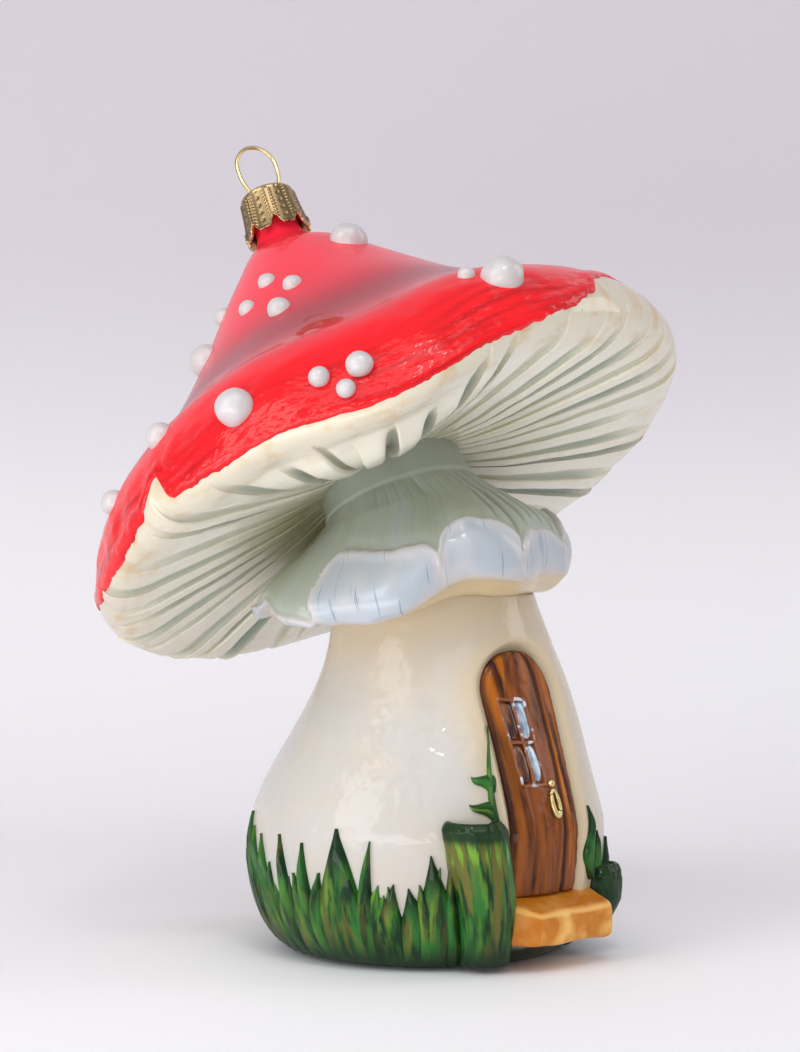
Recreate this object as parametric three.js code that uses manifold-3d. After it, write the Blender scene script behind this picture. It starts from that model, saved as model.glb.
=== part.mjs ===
// Toadstool house ornament: a blown glass body in sections, a stamped crown and a hanger wire.
// Millimetres, +Z up. The origin is the middle of the flat base, and the door faces -Y.
// A turn is an angle about the upright axis in degrees: 0 is the door side, 90 is +X.
import * as THREE from 'three';
import { mergeVertices } from 'three/addons/utils/BufferGeometryUtils.js';
import Module from 'manifold-3d';

// Glass sections
const GLASS_WALL = 1.2;
const SEAM = 0.3; // gap where two sections, or a section and an applied piece, meet

// Stem
const BASE_RADIUS = 20;
const BELLY_RADIUS = 28.5;
const BELLY_HEIGHT = 20;
const STEM_TOP_RADIUS = 16.5;
const STEM_LENGTH = 57;
const STEM_SWAY = 2.7; // how far the upper stem leans out to one side
const SWAY_TURN = 75;
const SWAY_HEIGHT = 44; // where it leans out furthest

// Collar under the gills
const COLLAR_TOP_RADIUS = 11.8;
const HEM_RADIUS = 25.2;
const HEM_HEIGHT = 4.5;
const HEM_FOLDS = 8;
const HEM_WAVE = 0.7;
const HEM_WAVE_TURN = -50; // where one of the folds hangs
const HEM_SAGS = 4;
const HEM_SAG = 1.8; // wider and deeper waves along the hem
const HEM_SAG_TURN = -69;
const HEM_DROOP = 6.6; // the hem hangs lower on one side by this much, and higher on the other
const HEM_DROOP_TURN = -91;
const HEM_SHIFT = 4; // and stands out further on that side

// Cap, which leans back and a little to one side
const CAP_TILT = 32.6;
const LEAN_TURN = 2;
const CAP_BACK = 5.3; // the middle of the rim's plane, behind the stem's axis
const CAP_LEVEL = 70.7; // and its height
const CAP_HEIGHT = 54; // from the rim's plane to the foot of the neck
const CAP_TOP_RADIUS = 4.9;
const SHOULDER_RADIUS = 44;
const SHOULDER_HEIGHT = 17.2;
const RIM_RADIUS = 51.2;
const RIM_HEIGHT = 1;
const RIM_SIDE_RISE = 2.9; // the rim stands this much higher on the +X side
const RIM_DROOP = 3.6; // and hangs this much lower about one turn
const RIM_DROOP_TURN = -44;
const RIM_DROOP_SPREAD = 27; // degrees to either side of it

// Gill plate
const GILL_RISE = 6.2; // from the rim's plane to the collar's top
const GILL_COUNT = 40;
const GILL_DEPTH = 1.5;
const GILL_BOW = 0.6; // how soon the underside drops to the rim: below 1 it drops first by the collar
const LIP_HANG = 4.5; // the underside hangs this much lower about one turn
const LIP_HANG_TURN = -52;
const LIP_HANG_SPREAD = 45; // degrees to either side of it
const LIP_HANG_BIAS = 1.5; // above 1 it hangs lowest nearer the rim

// Neck, crown and hanger
const NECK_TILT = 25;
const NECK_RADIUS = 3.9;
const NECK_LENGTH = 10;
const NECK_WALL = 0.7;
const CROWN_WALL = 0.35;
const CROWN_CLEARANCE = 0.35;
const CROWN_FLARE = 0.9;
const CROWN_SKIRT = 8.6; // from the roof down to the petal tips
const PETALS = 8;
const PETAL_LENGTH = 2;
const RIB_HEIGHT = 0.25;
const WIRE_RADIUS = 0.35;
const WIRE_CLEARANCE = 0.15;
const HANGER_TURN = -25;
const LEG_GAP = 0.45; // between a leg and the neck's bore
const LEG_LENGTH = 8;
const LOOP_WIDTH = 7.5;
const LOOP_HEIGHT = 9.4;

// Door and its niche
const DOOR_WIDTH = 13.6;
const DOOR_SILL = 11.4;
const DOOR_HEIGHT = 37;
const DOOR_LEAN = 2.6; // its head stands this far to the right of its foot
const DOOR_THICKNESS = 1.2;
const NICHE_MARGIN = 1.5;
const NICHE_DEPTH = 2.2;
const WINDOW_WIDTH = 4.8;
const WINDOW_HEIGHT = 13;
const WINDOW_SILL = 28;
const WINDOW_MIDDLE = -1.9; // left of the door's middle
const WINDOW_BAR = 0.5;
const PANE_THICKNESS = 0.8;
const RING_WIDTH = 2.2;
const RING_HEIGHT = 4.6;
const RING_WIRE = 0.35;
const RING_PLACE = [1.2, 25.2];
const STUD_RADIUS = 0.5;

// Doorstep
const STEP_OVERHANG = 3.4; // past each side of the door
const STEP_MIDDLE = 0.4; // right of the door's middle
const STEP_REACH = 31.2;
const STEP_LEFT_CUT = 3.3; // its corners
const STEP_RIGHT_CUT = 1;
const STEP_FOOT = 4.2; // height of its underside
const STEP_FRONT = 9.2; // height of its top at the front, which slopes up to the door's sill

// Bushes, grass and the climbing stem
const LEFT_BUSH = { gap: 4.3, radius: 5.3, from: 2.4, to: 23.6 };
const RIGHT_BUSH = { gap: 5, radius: 4, from: 3, to: 14.4 };
const BUSH_SET_OUT = 0.6; // a bush's axis stands this far outside the stem
const GRASS_FOOT = 1.4;
const GRASS_BAND = 6;
const GRASS_HEIGHT = 17.5;
const TUFT_WIDTH = 3.2;
const TUFT_HEIGHT = 7;
const GRASS_SEAT = 0.5; // gap to the stem, which both their facets eat into
const GRASS_THICKNESS = 0.9;
const GRASS_BLADES = 18;
const GRASS_SHORTEST = 0.6; // share of the tallest blade's height
const GRASS_BEAT = 2.4; // radians from one blade to the next in the waves of their heights and leans
const GRASS_SWAY = 4; // degrees that a tip leans to one side
const BLADE_TIP = 0.12; // width of a single blade's tip, as a share of its foot
const BLADE_TAPER = 1.6;
const VINE_GAP = 2.3;
const VINE_FOOT = 24.5;
const VINE_LENGTH = 13;
const VINE_WIDTH = 1.3;
const LEAF_LENGTH = 4.4;
const LEAF_WIDTH = 2.2;

// Warts: turn, way down the flank from the neck as a share of its length, and diameter
const WARTS = [
  [-6, 0.19, 6.4],
  [-66, 0.269, 3.2],
  [-54, 0.35, 3.3],
  [-76.5, 0.337, 3.2],
  [-61, 0.447, 4.1],
  [-110, 0.224, 3.2],
  [-108, 0.366, 5.8],
  [-69.5, 0.889, 6],
  [-90, 0.774, 4.6],
  [-47.8, 0.894, 4.1],
  [-54.6, 0.894, 3.2],
  [-51.4, 0.936, 2.9],
  [-17, 0.847, 6.5],
  [-21.5, 0.79, 2.8],
  [-108, 0.814, 4.2],
  [38, 0.407, 5.6],
  [62, 0.706, 6.6],
  [71, 0.787, 3.4],
  [100, 0.326, 4.2],
  [112, 0.407, 3.2],
  [128, 0.774, 6.4],
  [158, 0.502, 6],
  [-158, 0.746, 6.4],
  [-150, 0.814, 3.3],
];
const WART_FLATNESS = 0.86;

// Finishes: colour, roughness and metalness
const FINISH = {
  opal: [0xe9e3da, 0.12, 0],
  cream: [0xe6dfc8, 0.2, 0],
  greyBlue: [0xb4bcbe, 0.2, 0],
  red: [0xd8121f, 0.1, 0],
  white: [0xf4f0ee, 0.15, 0],
  wood: [0x6b3a1e, 0.3, 0],
  silver: [0xb8c4d0, 0.15, 0.2],
  gold: [0xd9c36a, 0.3, 0.9],
  brass: [0xa8935c, 0.35, 1],
  ochre: [0xd08a2e, 0.25, 0],
  green: [0x1f5a22, 0.2, 0],
};

// How each outline bows between its two ends: shares of the span for the first and the last handle
const FOOT_BOW = [0.53, 0.05, 0, 0.665];
const STEM_BOW = [0, 0.176, 0.16, 0.385];
const HEM_BOW = [0.59, -0.05, 0, 0.64];
const SKIRT_BOW = [0, 0.34, 0, 0.69];
const LIP_BOW = [-0.625, 0.373, 0.597, 0.148];
const FLANK_BOW = [0.412, 0.192, 0.22, 0.163];

// Facets
const STEM_SIDES = 40;
const COLLAR_SIDES = HEM_FOLDS * 5;
const CAP_SIDES = 48;
const CROWN_SIDES = PETALS * 6;
const BEND_STEPS = 4;
const ARCH_STEPS = 10;
const FLANK_STEPS = 7;
const GILL_STEPS = 4;
const GRASS_STEPS = 5;
const BUSH_SIDES = 20;
const BUSH_STEPS = 10;
const WART_SIDES = 10;
const CUT = 60; // reach of a cutting tool, well past what it cuts

const radians = THREE.MathUtils.degToRad;
const degrees = THREE.MathUtils.radToDeg;
const clamp = THREE.MathUtils.clamp;
const lerp = THREE.MathUtils.lerp;
const wasm = await Module();
wasm.setup();

// Vertices shared, slivers of no area dropped, faces turned outwards
function closed(geometry) {
  const bare = geometry.index ? geometry.toNonIndexed() : geometry;
  bare.deleteAttribute('normal');
  bare.deleteAttribute('uv');
  const merged = mergeVertices(bare);
  const corners = merged.getIndex().array;
  const at = (i) => new THREE.Vector3().fromBufferAttribute(merged.getAttribute('position'), i);
  let volume = 0;
  const kept = [];
  for (let i = 0; i < corners.length; i += 3) {
    const [a, b, c] = corners.slice(i, i + 3);
    if (a !== b && b !== c && c !== a) {
      kept.push(a, b, c);
      volume += at(a).dot(at(b).cross(at(c)));
    }
  }
  merged.setIndex(volume < 0 ? kept.reverse() : kept);
  return merged;
}

function solid(geometry) {
  const mesh = closed(geometry);
  return new wasm.Manifold(new wasm.Mesh({
    numProp: 3,
    vertProperties: new Float32Array(mesh.getAttribute('position').array),
    triVerts: new Uint32Array(mesh.getIndex().array),
  }));
}

function shape(body) {
  const mesh = body.getMesh();
  const geometry = new THREE.BufferGeometry();
  geometry.setAttribute('position', new THREE.BufferAttribute(mesh.vertProperties, 3));
  geometry.setIndex(new THREE.BufferAttribute(mesh.triVerts, 1));
  return geometry;
}

function warp(geometry, move) {
  const place = geometry.getAttribute('position');
  const point = new THREE.Vector3();
  for (let i = 0; i < place.count; i += 1) {
    const moved = move(point.fromBufferAttribute(place, i));
    place.setXYZ(i, moved.x, moved.y, moved.z);
  }
  return geometry;
}

function piece(name, geometry, finish) {
  const [color, roughness, metalness] = FINISH[finish];
  const material = new THREE.MeshStandardMaterial({ color, roughness, metalness });
  const mesh = new THREE.Mesh(closed(geometry), material);
  mesh.name = name;
  return mesh;
}

// Outlines are lists of [radius, height], read upwards with the outside on the right
function bow(from, to, [a, b, c, d], steps) {
  const span = [to[0] - from[0], to[1] - from[1]];
  const curve = new THREE.CubicBezierCurve(
    new THREE.Vector2(...from),
    new THREE.Vector2(from[0] + a * span[0], from[1] + b * span[1]),
    new THREE.Vector2(to[0] - c * span[0], to[1] - d * span[1]),
    new THREE.Vector2(...to),
  );
  return curve.getPoints(steps).map((p) => [p.x, p.y]);
}

function outset(outline, distance) {
  return outline.map(([r, h], i) => {
    const before = outline[Math.max(i - 1, 0)];
    const after = outline[Math.min(i + 1, outline.length - 1)];
    const run = Math.hypot(after[0] - before[0], after[1] - before[1]);
    return [r + distance * (after[1] - before[1]) / run, h - distance * (after[0] - before[0]) / run];
  });
}

function lathe(outline, sides) {
  const points = outline.map(([r, h]) => new THREE.Vector2(Math.max(r, 0), h));
  return new THREE.LatheGeometry(points, sides).rotateX(Math.PI / 2);
}

// A flat outline in X and Z, pushed through from far in front of the object to its middle
function prism(outline) {
  return solid(new THREE.ExtrudeGeometry(outline, { depth: CUT, bevelEnabled: false }).rotateX(Math.PI / 2));
}

function rectangle(left, bottom, right, top) {
  const corners = [[left, bottom], [right, bottom], [right, top], [left, top]];
  return new THREE.Shape(corners.map((c) => new THREE.Vector2(...c)));
}

// An arched outline that leans as the door does
function arch(halfWidth, bottom, top) {
  const upright = new THREE.Path();
  upright.moveTo(-halfWidth, bottom);
  upright.lineTo(halfWidth, bottom);
  upright.absarc(0, top - halfWidth, halfWidth, 0, Math.PI);
  const aside = (height) => DOOR_LEAN * ((height - DOOR_SILL) / DOOR_HEIGHT - 0.5);
  return new THREE.Shape(upright.getPoints(ARCH_STEPS).map((p) => new THREE.Vector2(p.x + aside(p.y), p.y)));
}

// The way that a turn points
function towards(turn) {
  return new THREE.Vector3(Math.sin(radians(turn)), -Math.cos(radians(turn)), 0);
}

// The stem's lean to one side, which starts at half the height where it is furthest, and dies away above
function swayed(p) {
  const share = clamp(2 * p.z / SWAY_HEIGHT - 1, 0, 2);
  return p.addScaledVector(towards(SWAY_TURN), STEM_SWAY * Math.sin(share * Math.PI / 2) ** 2);
}

// Stem
const stemOutline = [
  ...bow([BASE_RADIUS, 0], [BELLY_RADIUS, BELLY_HEIGHT], FOOT_BOW, BEND_STEPS),
  ...bow([BELLY_RADIUS, BELLY_HEIGHT], [STEM_TOP_RADIUS, STEM_LENGTH], STEM_BOW, FLANK_STEPS).slice(1),
];

function stemRadius(height) {
  const above = Math.max(stemOutline.findIndex(([, h]) => h >= height), 1);
  const [r0, h0] = stemOutline[above - 1];
  const [r1, h1] = stemOutline[above];
  return lerp(r0, r1, (height - h0) / (h1 - h0));
}

// The stem's outside, set out or in by a distance, as a filled solid that runs on past its top
function stemFilled(distance, past) {
  const side = outset(stemOutline, distance);
  const [topRadius, topHeight] = side[side.length - 1];
  const outline = [[0, side[0][1]], ...side, [topRadius, topHeight + past], [0, topHeight + past]];
  return solid(warp(lathe(outline, STEM_SIDES), swayed));
}

function onStem(turn, height, out) {
  return swayed(towards(turn).multiplyScalar(stemRadius(height) + out).setZ(height));
}

function turnAt(x, height) {
  return degrees(Math.asin(x / stemRadius(height)));
}

const nicheHalf = DOOR_WIDTH / 2 + NICHE_MARGIN;
const doorTop = DOOR_SILL + DOOR_HEIGHT;
const doorBack = NICHE_DEPTH - SEAM;
const doorFace = doorBack - DOOR_THICKNESS;
const stemGrown = stemFilled(SEAM, SEAM);

// A slice of the front lying between two depths under the stem's surface
function slice(outline, faceDepth, backDepth) {
  return prism(outline).intersect(stemFilled(-faceDepth, 0)).subtract(stemFilled(-backDepth, 0));
}

function stemShell() {
  const top = doorTop + NICHE_MARGIN;
  const niche = prism(arch(nicheHalf, DOOR_SILL, top)).subtract(stemFilled(-NICHE_DEPTH, 0));
  const backing = prism(arch(nicheHalf + GLASS_WALL, DOOR_SILL - GLASS_WALL, top + GLASS_WALL))
    .subtract(stemFilled(-NICHE_DEPTH - GLASS_WALL, GLASS_WALL));
  const hollow = stemFilled(-GLASS_WALL, GLASS_WALL).subtract(backing);
  return stemFilled(0, 0).subtract(niche).subtract(hollow);
}

// Door, window and knocker
const windowLeft = WINDOW_MIDDLE - WINDOW_WIDTH / 2;
const windowRight = WINDOW_MIDDLE + WINDOW_WIDTH / 2;
const windowTop = WINDOW_SILL + WINDOW_HEIGHT;

function doorLeaf() {
  const leaf = slice(arch(DOOR_WIDTH / 2, DOOR_SILL + SEAM, doorTop), doorFace, doorBack);
  return leaf.subtract(prism(rectangle(windowLeft, WINDOW_SILL, windowRight, windowTop)));
}

// The four lights of the window: [name, left, bottom, right, top]
function windowLights() {
  const edge = SEAM + WINDOW_BAR;
  const bar = WINDOW_BAR / 2;
  const columns = [
    ['left', windowLeft + edge, WINDOW_MIDDLE - bar],
    ['right', WINDOW_MIDDLE + bar, windowRight - edge],
  ];
  const middle = WINDOW_SILL + WINDOW_HEIGHT / 2;
  const rows = [
    ['lower', WINDOW_SILL + edge, middle - bar],
    ['upper', middle + bar, windowTop - edge],
  ];
  return rows.flatMap(([level, bottom, top]) =>
    columns.map(([side, left, right]) => [`pane_${level}_${side}`, left, bottom, right, top]));
}

function windowFrame() {
  const outer = rectangle(windowLeft + SEAM, WINDOW_SILL + SEAM, windowRight - SEAM, windowTop - SEAM);
  let frame = slice(outer, doorFace - SEAM, doorBack);
  for (const [, left, bottom, right, top] of windowLights()) {
    frame = frame.subtract(prism(rectangle(left, bottom, right, top)));
  }
  return frame;
}

function windowPane([, left, bottom, right, top]) {
  const glass = rectangle(left + SEAM, bottom + SEAM, right - SEAM, top - SEAM);
  return slice(glass, doorBack - PANE_THICKNESS, doorBack);
}

function onDoor(geometry, x, height, out) {
  const turn = turnAt(x, height);
  const place = onStem(turn, height, out - doorFace);
  const lean = Math.atan(stemRadius(height) - stemRadius(height + 1));
  return geometry.rotateX(Math.PI / 2 - lean).rotateZ(radians(turn)).translate(place.x, place.y, place.z);
}

function knockerRing() {
  const wide = RING_WIDTH / 2 - RING_WIRE;
  const tall = RING_HEIGHT / 2 - RING_WIRE;
  const ring = warp(new THREE.TorusGeometry(wide, RING_WIRE, 6, 16), (p) => {
    const angle = Math.atan2(p.y, p.x);
    const out = new THREE.Vector2(tall * Math.cos(angle), wide * Math.sin(angle));
    out.setLength(Math.hypot(p.x, p.y) - wide);
    return p.set(wide * Math.cos(angle) + out.x, tall * Math.sin(angle) + out.y, p.z);
  });
  return onDoor(ring, ...RING_PLACE, SEAM + RING_WIRE);
}

function knockerStud() {
  const [x, height] = RING_PLACE;
  const stud = new THREE.SphereGeometry(STUD_RADIUS, 10, 6);
  return onDoor(stud, x, height + RING_HEIGHT / 2 + SEAM + STUD_RADIUS + RING_WIRE, SEAM + STUD_RADIUS);
}

// Bushes: clipped barrels half sunk in the stem's side
function bushAxis(bush, side) {
  const x = side * (nicheHalf + bush.gap);
  const height = (bush.from + bush.to) / 2;
  const turn = turnAt(x, height);
  return { turn, height, place: onStem(turn, height, BUSH_SET_OUT) };
}

function bushFilled(bush, side, grow) {
  const radius = bush.radius + grow;
  const half = (bush.to - bush.from) / 2 + grow;
  const squared = (value) => Math.sign(value) * Math.sqrt(Math.abs(value));
  const outline = [];
  for (let i = 0; i <= BUSH_STEPS; i += 1) {
    const angle = Math.PI * (i / BUSH_STEPS - 0.5);
    outline.push([radius * squared(Math.cos(angle)), half * squared(Math.sin(angle))]);
  }
  outline[0][0] = 0;
  outline[BUSH_STEPS][0] = 0;
  const { place, height } = bushAxis(bush, side);
  return solid(lathe(outline, BUSH_SIDES).translate(place.x, place.y, height));
}

function bushBody(bush, side) {
  return bushFilled(bush, side, 0).subtract(stemGrown);
}

// Doorstep: a ledge with its front corners cut off, set against the stem and clear of the bushes
function doorStep() {
  const half = DOOR_WIDTH / 2 + STEP_OVERHANG;
  const left = STEP_MIDDLE - half;
  const right = STEP_MIDDLE + half;
  const corners = [
    [left, 0],
    [right, 0],
    [right, STEP_RIGHT_CUT - STEP_REACH],
    [right - STEP_RIGHT_CUT, -STEP_REACH],
    [left + STEP_LEFT_CUT, -STEP_REACH],
    [left, STEP_LEFT_CUT - STEP_REACH],
  ];
  const plan = new THREE.Shape(corners.map((c) => new THREE.Vector2(...c)));
  const slope = (DOOR_SILL - STEP_FRONT) / (STEP_REACH - BELLY_RADIUS + NICHE_DEPTH);
  const slab = warp(new THREE.ExtrudeGeometry(plan, { depth: 1, bevelEnabled: false }), (p) => (
    p.setZ(p.z > 0 ? STEP_FRONT + slope * (p.y + STEP_REACH) : STEP_FOOT)
  ));
  return solid(slab)
    .subtract(stemGrown)
    .subtract(bushFilled(LEFT_BUSH, -1, SEAM))
    .subtract(bushFilled(RIGHT_BUSH, 1, SEAM));
}

// A strip lying on the stem, from a foot up to a pointed tip
function blade({ turn, foot, rise, width, lean, steps }) {
  return solid(warp(new THREE.BoxGeometry(1, 1, 1, 2, steps, 1), (p) => {
    const along = p.y + 0.5;
    const height = foot + rise * along;
    const across = p.x * width * Math.max(1 - along ** BLADE_TAPER, BLADE_TIP);
    const angle = turn + lean * along ** 2 + degrees(across / stemRadius(height));
    return onStem(angle, height, GRASS_SEAT + GRASS_THICKNESS * (p.z + 0.5));
  }));
}

// Grass: one relief round the foot from bush to bush by way of the back, its upper edge cut into blades
function grassRing() {
  const margin = (bush) => degrees((bush.radius + 2 * SEAM) / BELLY_RADIUS);
  const from = bushAxis(RIGHT_BUSH, 1).turn + margin(RIGHT_BUSH);
  const to = 360 + bushAxis(LEFT_BUSH, -1).turn - margin(LEFT_BUSH);
  const columns = 4 * GRASS_BLADES; // a notch, a flank, a tip and a flank for each blade
  return warp(new THREE.BoxGeometry(1, 1, 1, columns, GRASS_STEPS, 1), (p) => {
    const column = Math.round((p.x + 0.5) * columns);
    const blade = Math.floor(column / 4);
    const towardsTip = 1 - Math.abs(2 * (column / 4 - blade) - 1);
    const tall = lerp(GRASS_SHORTEST, 1, Math.abs(Math.sin(GRASS_BEAT * blade)));
    const along = (p.y + 0.5) ** 2; // closer steps at the foot, where the stem is most curved
    const sway = GRASS_SWAY * Math.cos(GRASS_BEAT * blade) * towardsTip * along;
    return onStem(
      lerp(from, to, p.x + 0.5) + sway,
      GRASS_FOOT + along * lerp(GRASS_BAND, GRASS_HEIGHT * tall, towardsTip),
      GRASS_SEAT + GRASS_THICKNESS * (p.z + 0.5),
    );
  });
}

// Two blades between the door and the right bush, joined at the foot
function doorTuft() {
  const bush = bushAxis(RIGHT_BUSH, 1);
  const turn = (turnAt(nicheHalf, RIGHT_BUSH.to) + bush.turn) / 2;
  const foot = RIGHT_BUSH.to + SEAM;
  const tall = { turn, foot, rise: TUFT_HEIGHT, width: TUFT_WIDTH, lean: -3, steps: 3 };
  const short = { ...tall, turn: turn + 3, rise: TUFT_HEIGHT * 0.7, lean: 5 };
  return blade(tall).add(blade(short)).subtract(bushFilled(RIGHT_BUSH, 1, SEAM));
}

// Climbing stem up the edge of the niche, with two leaves turned away from the door
function doorVine() {
  const turn = turnAt(-nicheHalf - VINE_GAP, VINE_FOOT);
  const stalk = { turn, foot: VINE_FOOT, rise: VINE_LENGTH, width: VINE_WIDTH, lean: -1, steps: 5 };
  const aside = -degrees(LEAF_LENGTH / BELLY_RADIUS);
  const leaf = { ...stalk, rise: LEAF_LENGTH / 2, width: LEAF_WIDTH, lean: aside };
  return blade(stalk)
    .add(blade({ ...leaf, foot: VINE_FOOT + VINE_LENGTH * 0.1 }))
    .add(blade({ ...leaf, foot: VINE_FOOT + VINE_LENGTH * 0.45 }))
    .subtract(bushFilled(LEFT_BUSH, -1, SEAM));
}

// Collar: seated on the stem's rim, out to the folded hem, and in again to the gills.
// Its axis curves from the stem's top to the cap's underside, and its hem hangs in folds.
function collar(capPlace) {
  const foot = swayed(new THREE.Vector3(0, 0, STEM_LENGTH + SEAM));
  const head = new THREE.Vector3(0, 0, GILL_RISE).applyMatrix4(capPlace);
  const upright = new THREE.Vector3(0, 0, 1);
  const capAxis = upright.clone().transformDirection(capPlace);
  const length = head.distanceTo(foot);
  const axis = new THREE.CubicBezierCurve3(
    foot,
    foot.clone().addScaledVector(upright, length / 3),
    head.clone().addScaledVector(capAxis, -length / 3),
    head,
  );
  const lean = new THREE.Quaternion().setFromUnitVectors(upright, capAxis);
  const hem = [HEM_RADIUS, HEM_HEIGHT];
  const outside = [
    ...bow([STEM_TOP_RADIUS, 0], hem, HEM_BOW, BEND_STEPS),
    ...bow(hem, [COLLAR_TOP_RADIUS, length], SKIRT_BOW, FLANK_STEPS).slice(1),
  ];
  const inside = outset(outside, -GLASS_WALL).reverse();
  inside[0][1] = length;
  const seat = STEM_TOP_RADIUS - GLASS_WALL;
  const outline = [[seat, 0], ...outside, ...inside, [seat, GLASS_WALL], [seat, 0]];
  return warp(lathe(outline, COLLAR_SIDES), (p) => {
    const radius = Math.hypot(p.x, p.y);
    const angle = Math.atan2(p.x, -p.y);
    const reach = clamp((radius - STEM_TOP_RADIUS) / (HEM_RADIUS - STEM_TOP_RADIUS), 0, 1);
    const wave = (count, turn) => reach * Math.cos(count * (angle - radians(turn)));
    const fold = HEM_WAVE * wave(HEM_FOLDS, HEM_WAVE_TURN);
    const hang = fold + HEM_SAG * wave(HEM_SAGS, HEM_SAG_TURN) + HEM_DROOP * wave(1, HEM_DROOP_TURN);
    const share = clamp(p.z / length, 0, 1);
    const turned = new THREE.Quaternion().slerp(lean, share);
    const wider = 1 + fold / radius;
    const spoke = new THREE.Vector3(p.x * wider, p.y * wider, p.z - share * length).applyQuaternion(turned);
    return spoke.add(axis.getPoint(share))
      .addScaledVector(towards(HEM_DROOP_TURN), HEM_SHIFT * reach)
      .addScaledVector(upright, -hang);
  });
}

// Cap: outlines in its own frame, where the rim lies in the plane of X and Y
const rim = [RIM_RADIUS, RIM_HEIGHT];
const shoulder = [SHOULDER_RADIUS, SHOULDER_HEIGHT];
const capOutline = [
  ...bow(rim, shoulder, LIP_BOW, BEND_STEPS),
  ...bow(shoulder, [CAP_TOP_RADIUS, CAP_HEIGHT], FLANK_BOW, FLANK_STEPS).slice(1),
];

// A smooth hump about one turn, as a share of its height
function nearTurn(p, turn, spread) {
  const aside = Math.abs(degrees(Math.atan2(p.x, -p.y)) - turn) / spread;
  return Math.cos(Math.min(aside, 1) * Math.PI / 2) ** 2;
}

// The rim's rise on one side and its droop at another, which both die away towards the axis
function rimWave(p) {
  const radius = Math.hypot(p.x, p.y);
  const droop = RIM_DROOP * nearTurn(p, RIM_DROOP_TURN, RIM_DROOP_SPREAD) * (radius / RIM_RADIUS) ** 4;
  return p.setZ(p.z + RIM_SIDE_RISE * p.x * radius / RIM_RADIUS ** 2 - droop);
}

function capFilled(distance, below) {
  const side = outset(capOutline, distance);
  const [bottomRadius] = side[0];
  const top = side[side.length - 1][1];
  const outline = [[0, RIM_HEIGHT - below], [bottomRadius, RIM_HEIGHT - below], ...side, [0, top]];
  return solid(warp(lathe(outline, CAP_SIDES), rimWave));
}

function inNeck(geometry) {
  return geometry.rotateX(radians(CAP_TILT - NECK_TILT)).translate(0, 0, CAP_HEIGHT);
}

function neckRod(radius, from, to) {
  return solid(inNeck(lathe([[0, from], [radius, from], [radius, to], [0, to]], STEM_SIDES / 2)));
}

function capShell() {
  return capFilled(0, 0)
    .add(neckRod(NECK_RADIUS, -GLASS_WALL, NECK_LENGTH))
    .subtract(capFilled(-GLASS_WALL, GLASS_WALL))
    .subtract(neckRod(NECK_RADIUS - NECK_WALL, -2 * CAP_TOP_RADIUS, 2 * NECK_LENGTH));
}

function gillPlate() {
  const hole = COLLAR_TOP_RADIUS - GLASS_WALL;
  const seat = COLLAR_TOP_RADIUS + 2 * SEAM;
  const edge = RIM_RADIUS - GLASS_WALL - 2 * SEAM;
  const inner = GILL_RISE + SEAM;
  const drop = (share) => lerp(inner, RIM_HEIGHT, share ** GILL_BOW);
  const under = [[hole, inner], [seat, inner]];
  for (let i = 1; i <= GILL_STEPS; i += 1) {
    const share = i / GILL_STEPS;
    under.push([lerp(seat, edge, share), drop(share)]);
  }
  const top = [hole, inner + GLASS_WALL];
  const outline = [top, ...under, [edge, RIM_HEIGHT + GLASS_WALL], top];
  return warp(lathe(outline, 2 * GILL_COUNT), (p) => {
    const share = clamp((Math.hypot(p.x, p.y) - seat) / (edge - seat), 0, 1);
    const pleat = 0.5 + 0.5 * Math.cos(GILL_COUNT * Math.atan2(p.x, -p.y));
    const depth = GILL_DEPTH * Math.sin(Math.PI * Math.sqrt(share)) * pleat;
    const hang = LIP_HANG * nearTurn(p, LIP_HANG_TURN, LIP_HANG_SPREAD);
    return rimWave(p.setZ(p.z - depth - hang * Math.sin(Math.PI * share ** LIP_HANG_BIAS)));
  });
}

// A place on the cap's flank, a share of the way down from the neck, with the way the surface faces there
function onFlank(turn, share) {
  const downward = capOutline.map(([r, h]) => new THREE.Vector2(r, h)).reverse();
  const runs = downward.slice(1).map((p, i) => p.distanceTo(downward[i]));
  let left = share * runs.reduce((sum, run) => sum + run, 0);
  let i = 0;
  while (i < runs.length - 1 && left > runs[i]) {
    left -= runs[i];
    i += 1;
  }
  const [upper, lower] = downward.slice(i, i + 2);
  const spot = upper.clone().lerp(lower, left / runs[i]);
  const spin = (r, h) => towards(turn).multiplyScalar(r).setZ(h);
  return { place: rimWave(spin(spot.x, spot.y)), facing: spin(upper.y - lower.y, lower.x - upper.x) };
}

function wart([turn, share, diameter], cap) {
  const { place, facing } = onFlank(turn, share);
  const dome = new THREE.SphereGeometry(diameter / 2, WART_SIDES, WART_SIDES / 2 + 2);
  dome.rotateX(Math.PI / 2).scale(1, 1, WART_FLATNESS);
  const stand = new THREE.Quaternion().setFromUnitVectors(new THREE.Vector3(0, 0, 1), facing.normalize());
  return solid(dome.applyQuaternion(stand).translate(place.x, place.y, place.z)).subtract(cap);
}

// Crown: a stamped cup over the neck, with ribs between its panels and a pointed petal under each panel
const roof = NECK_LENGTH + SEAM + CROWN_WALL;
const crownTopRadius = NECK_RADIUS + CROWN_CLEARANCE + CROWN_WALL;
const legOffset = NECK_RADIUS - NECK_WALL - LEG_GAP - WIRE_RADIUS;

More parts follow.
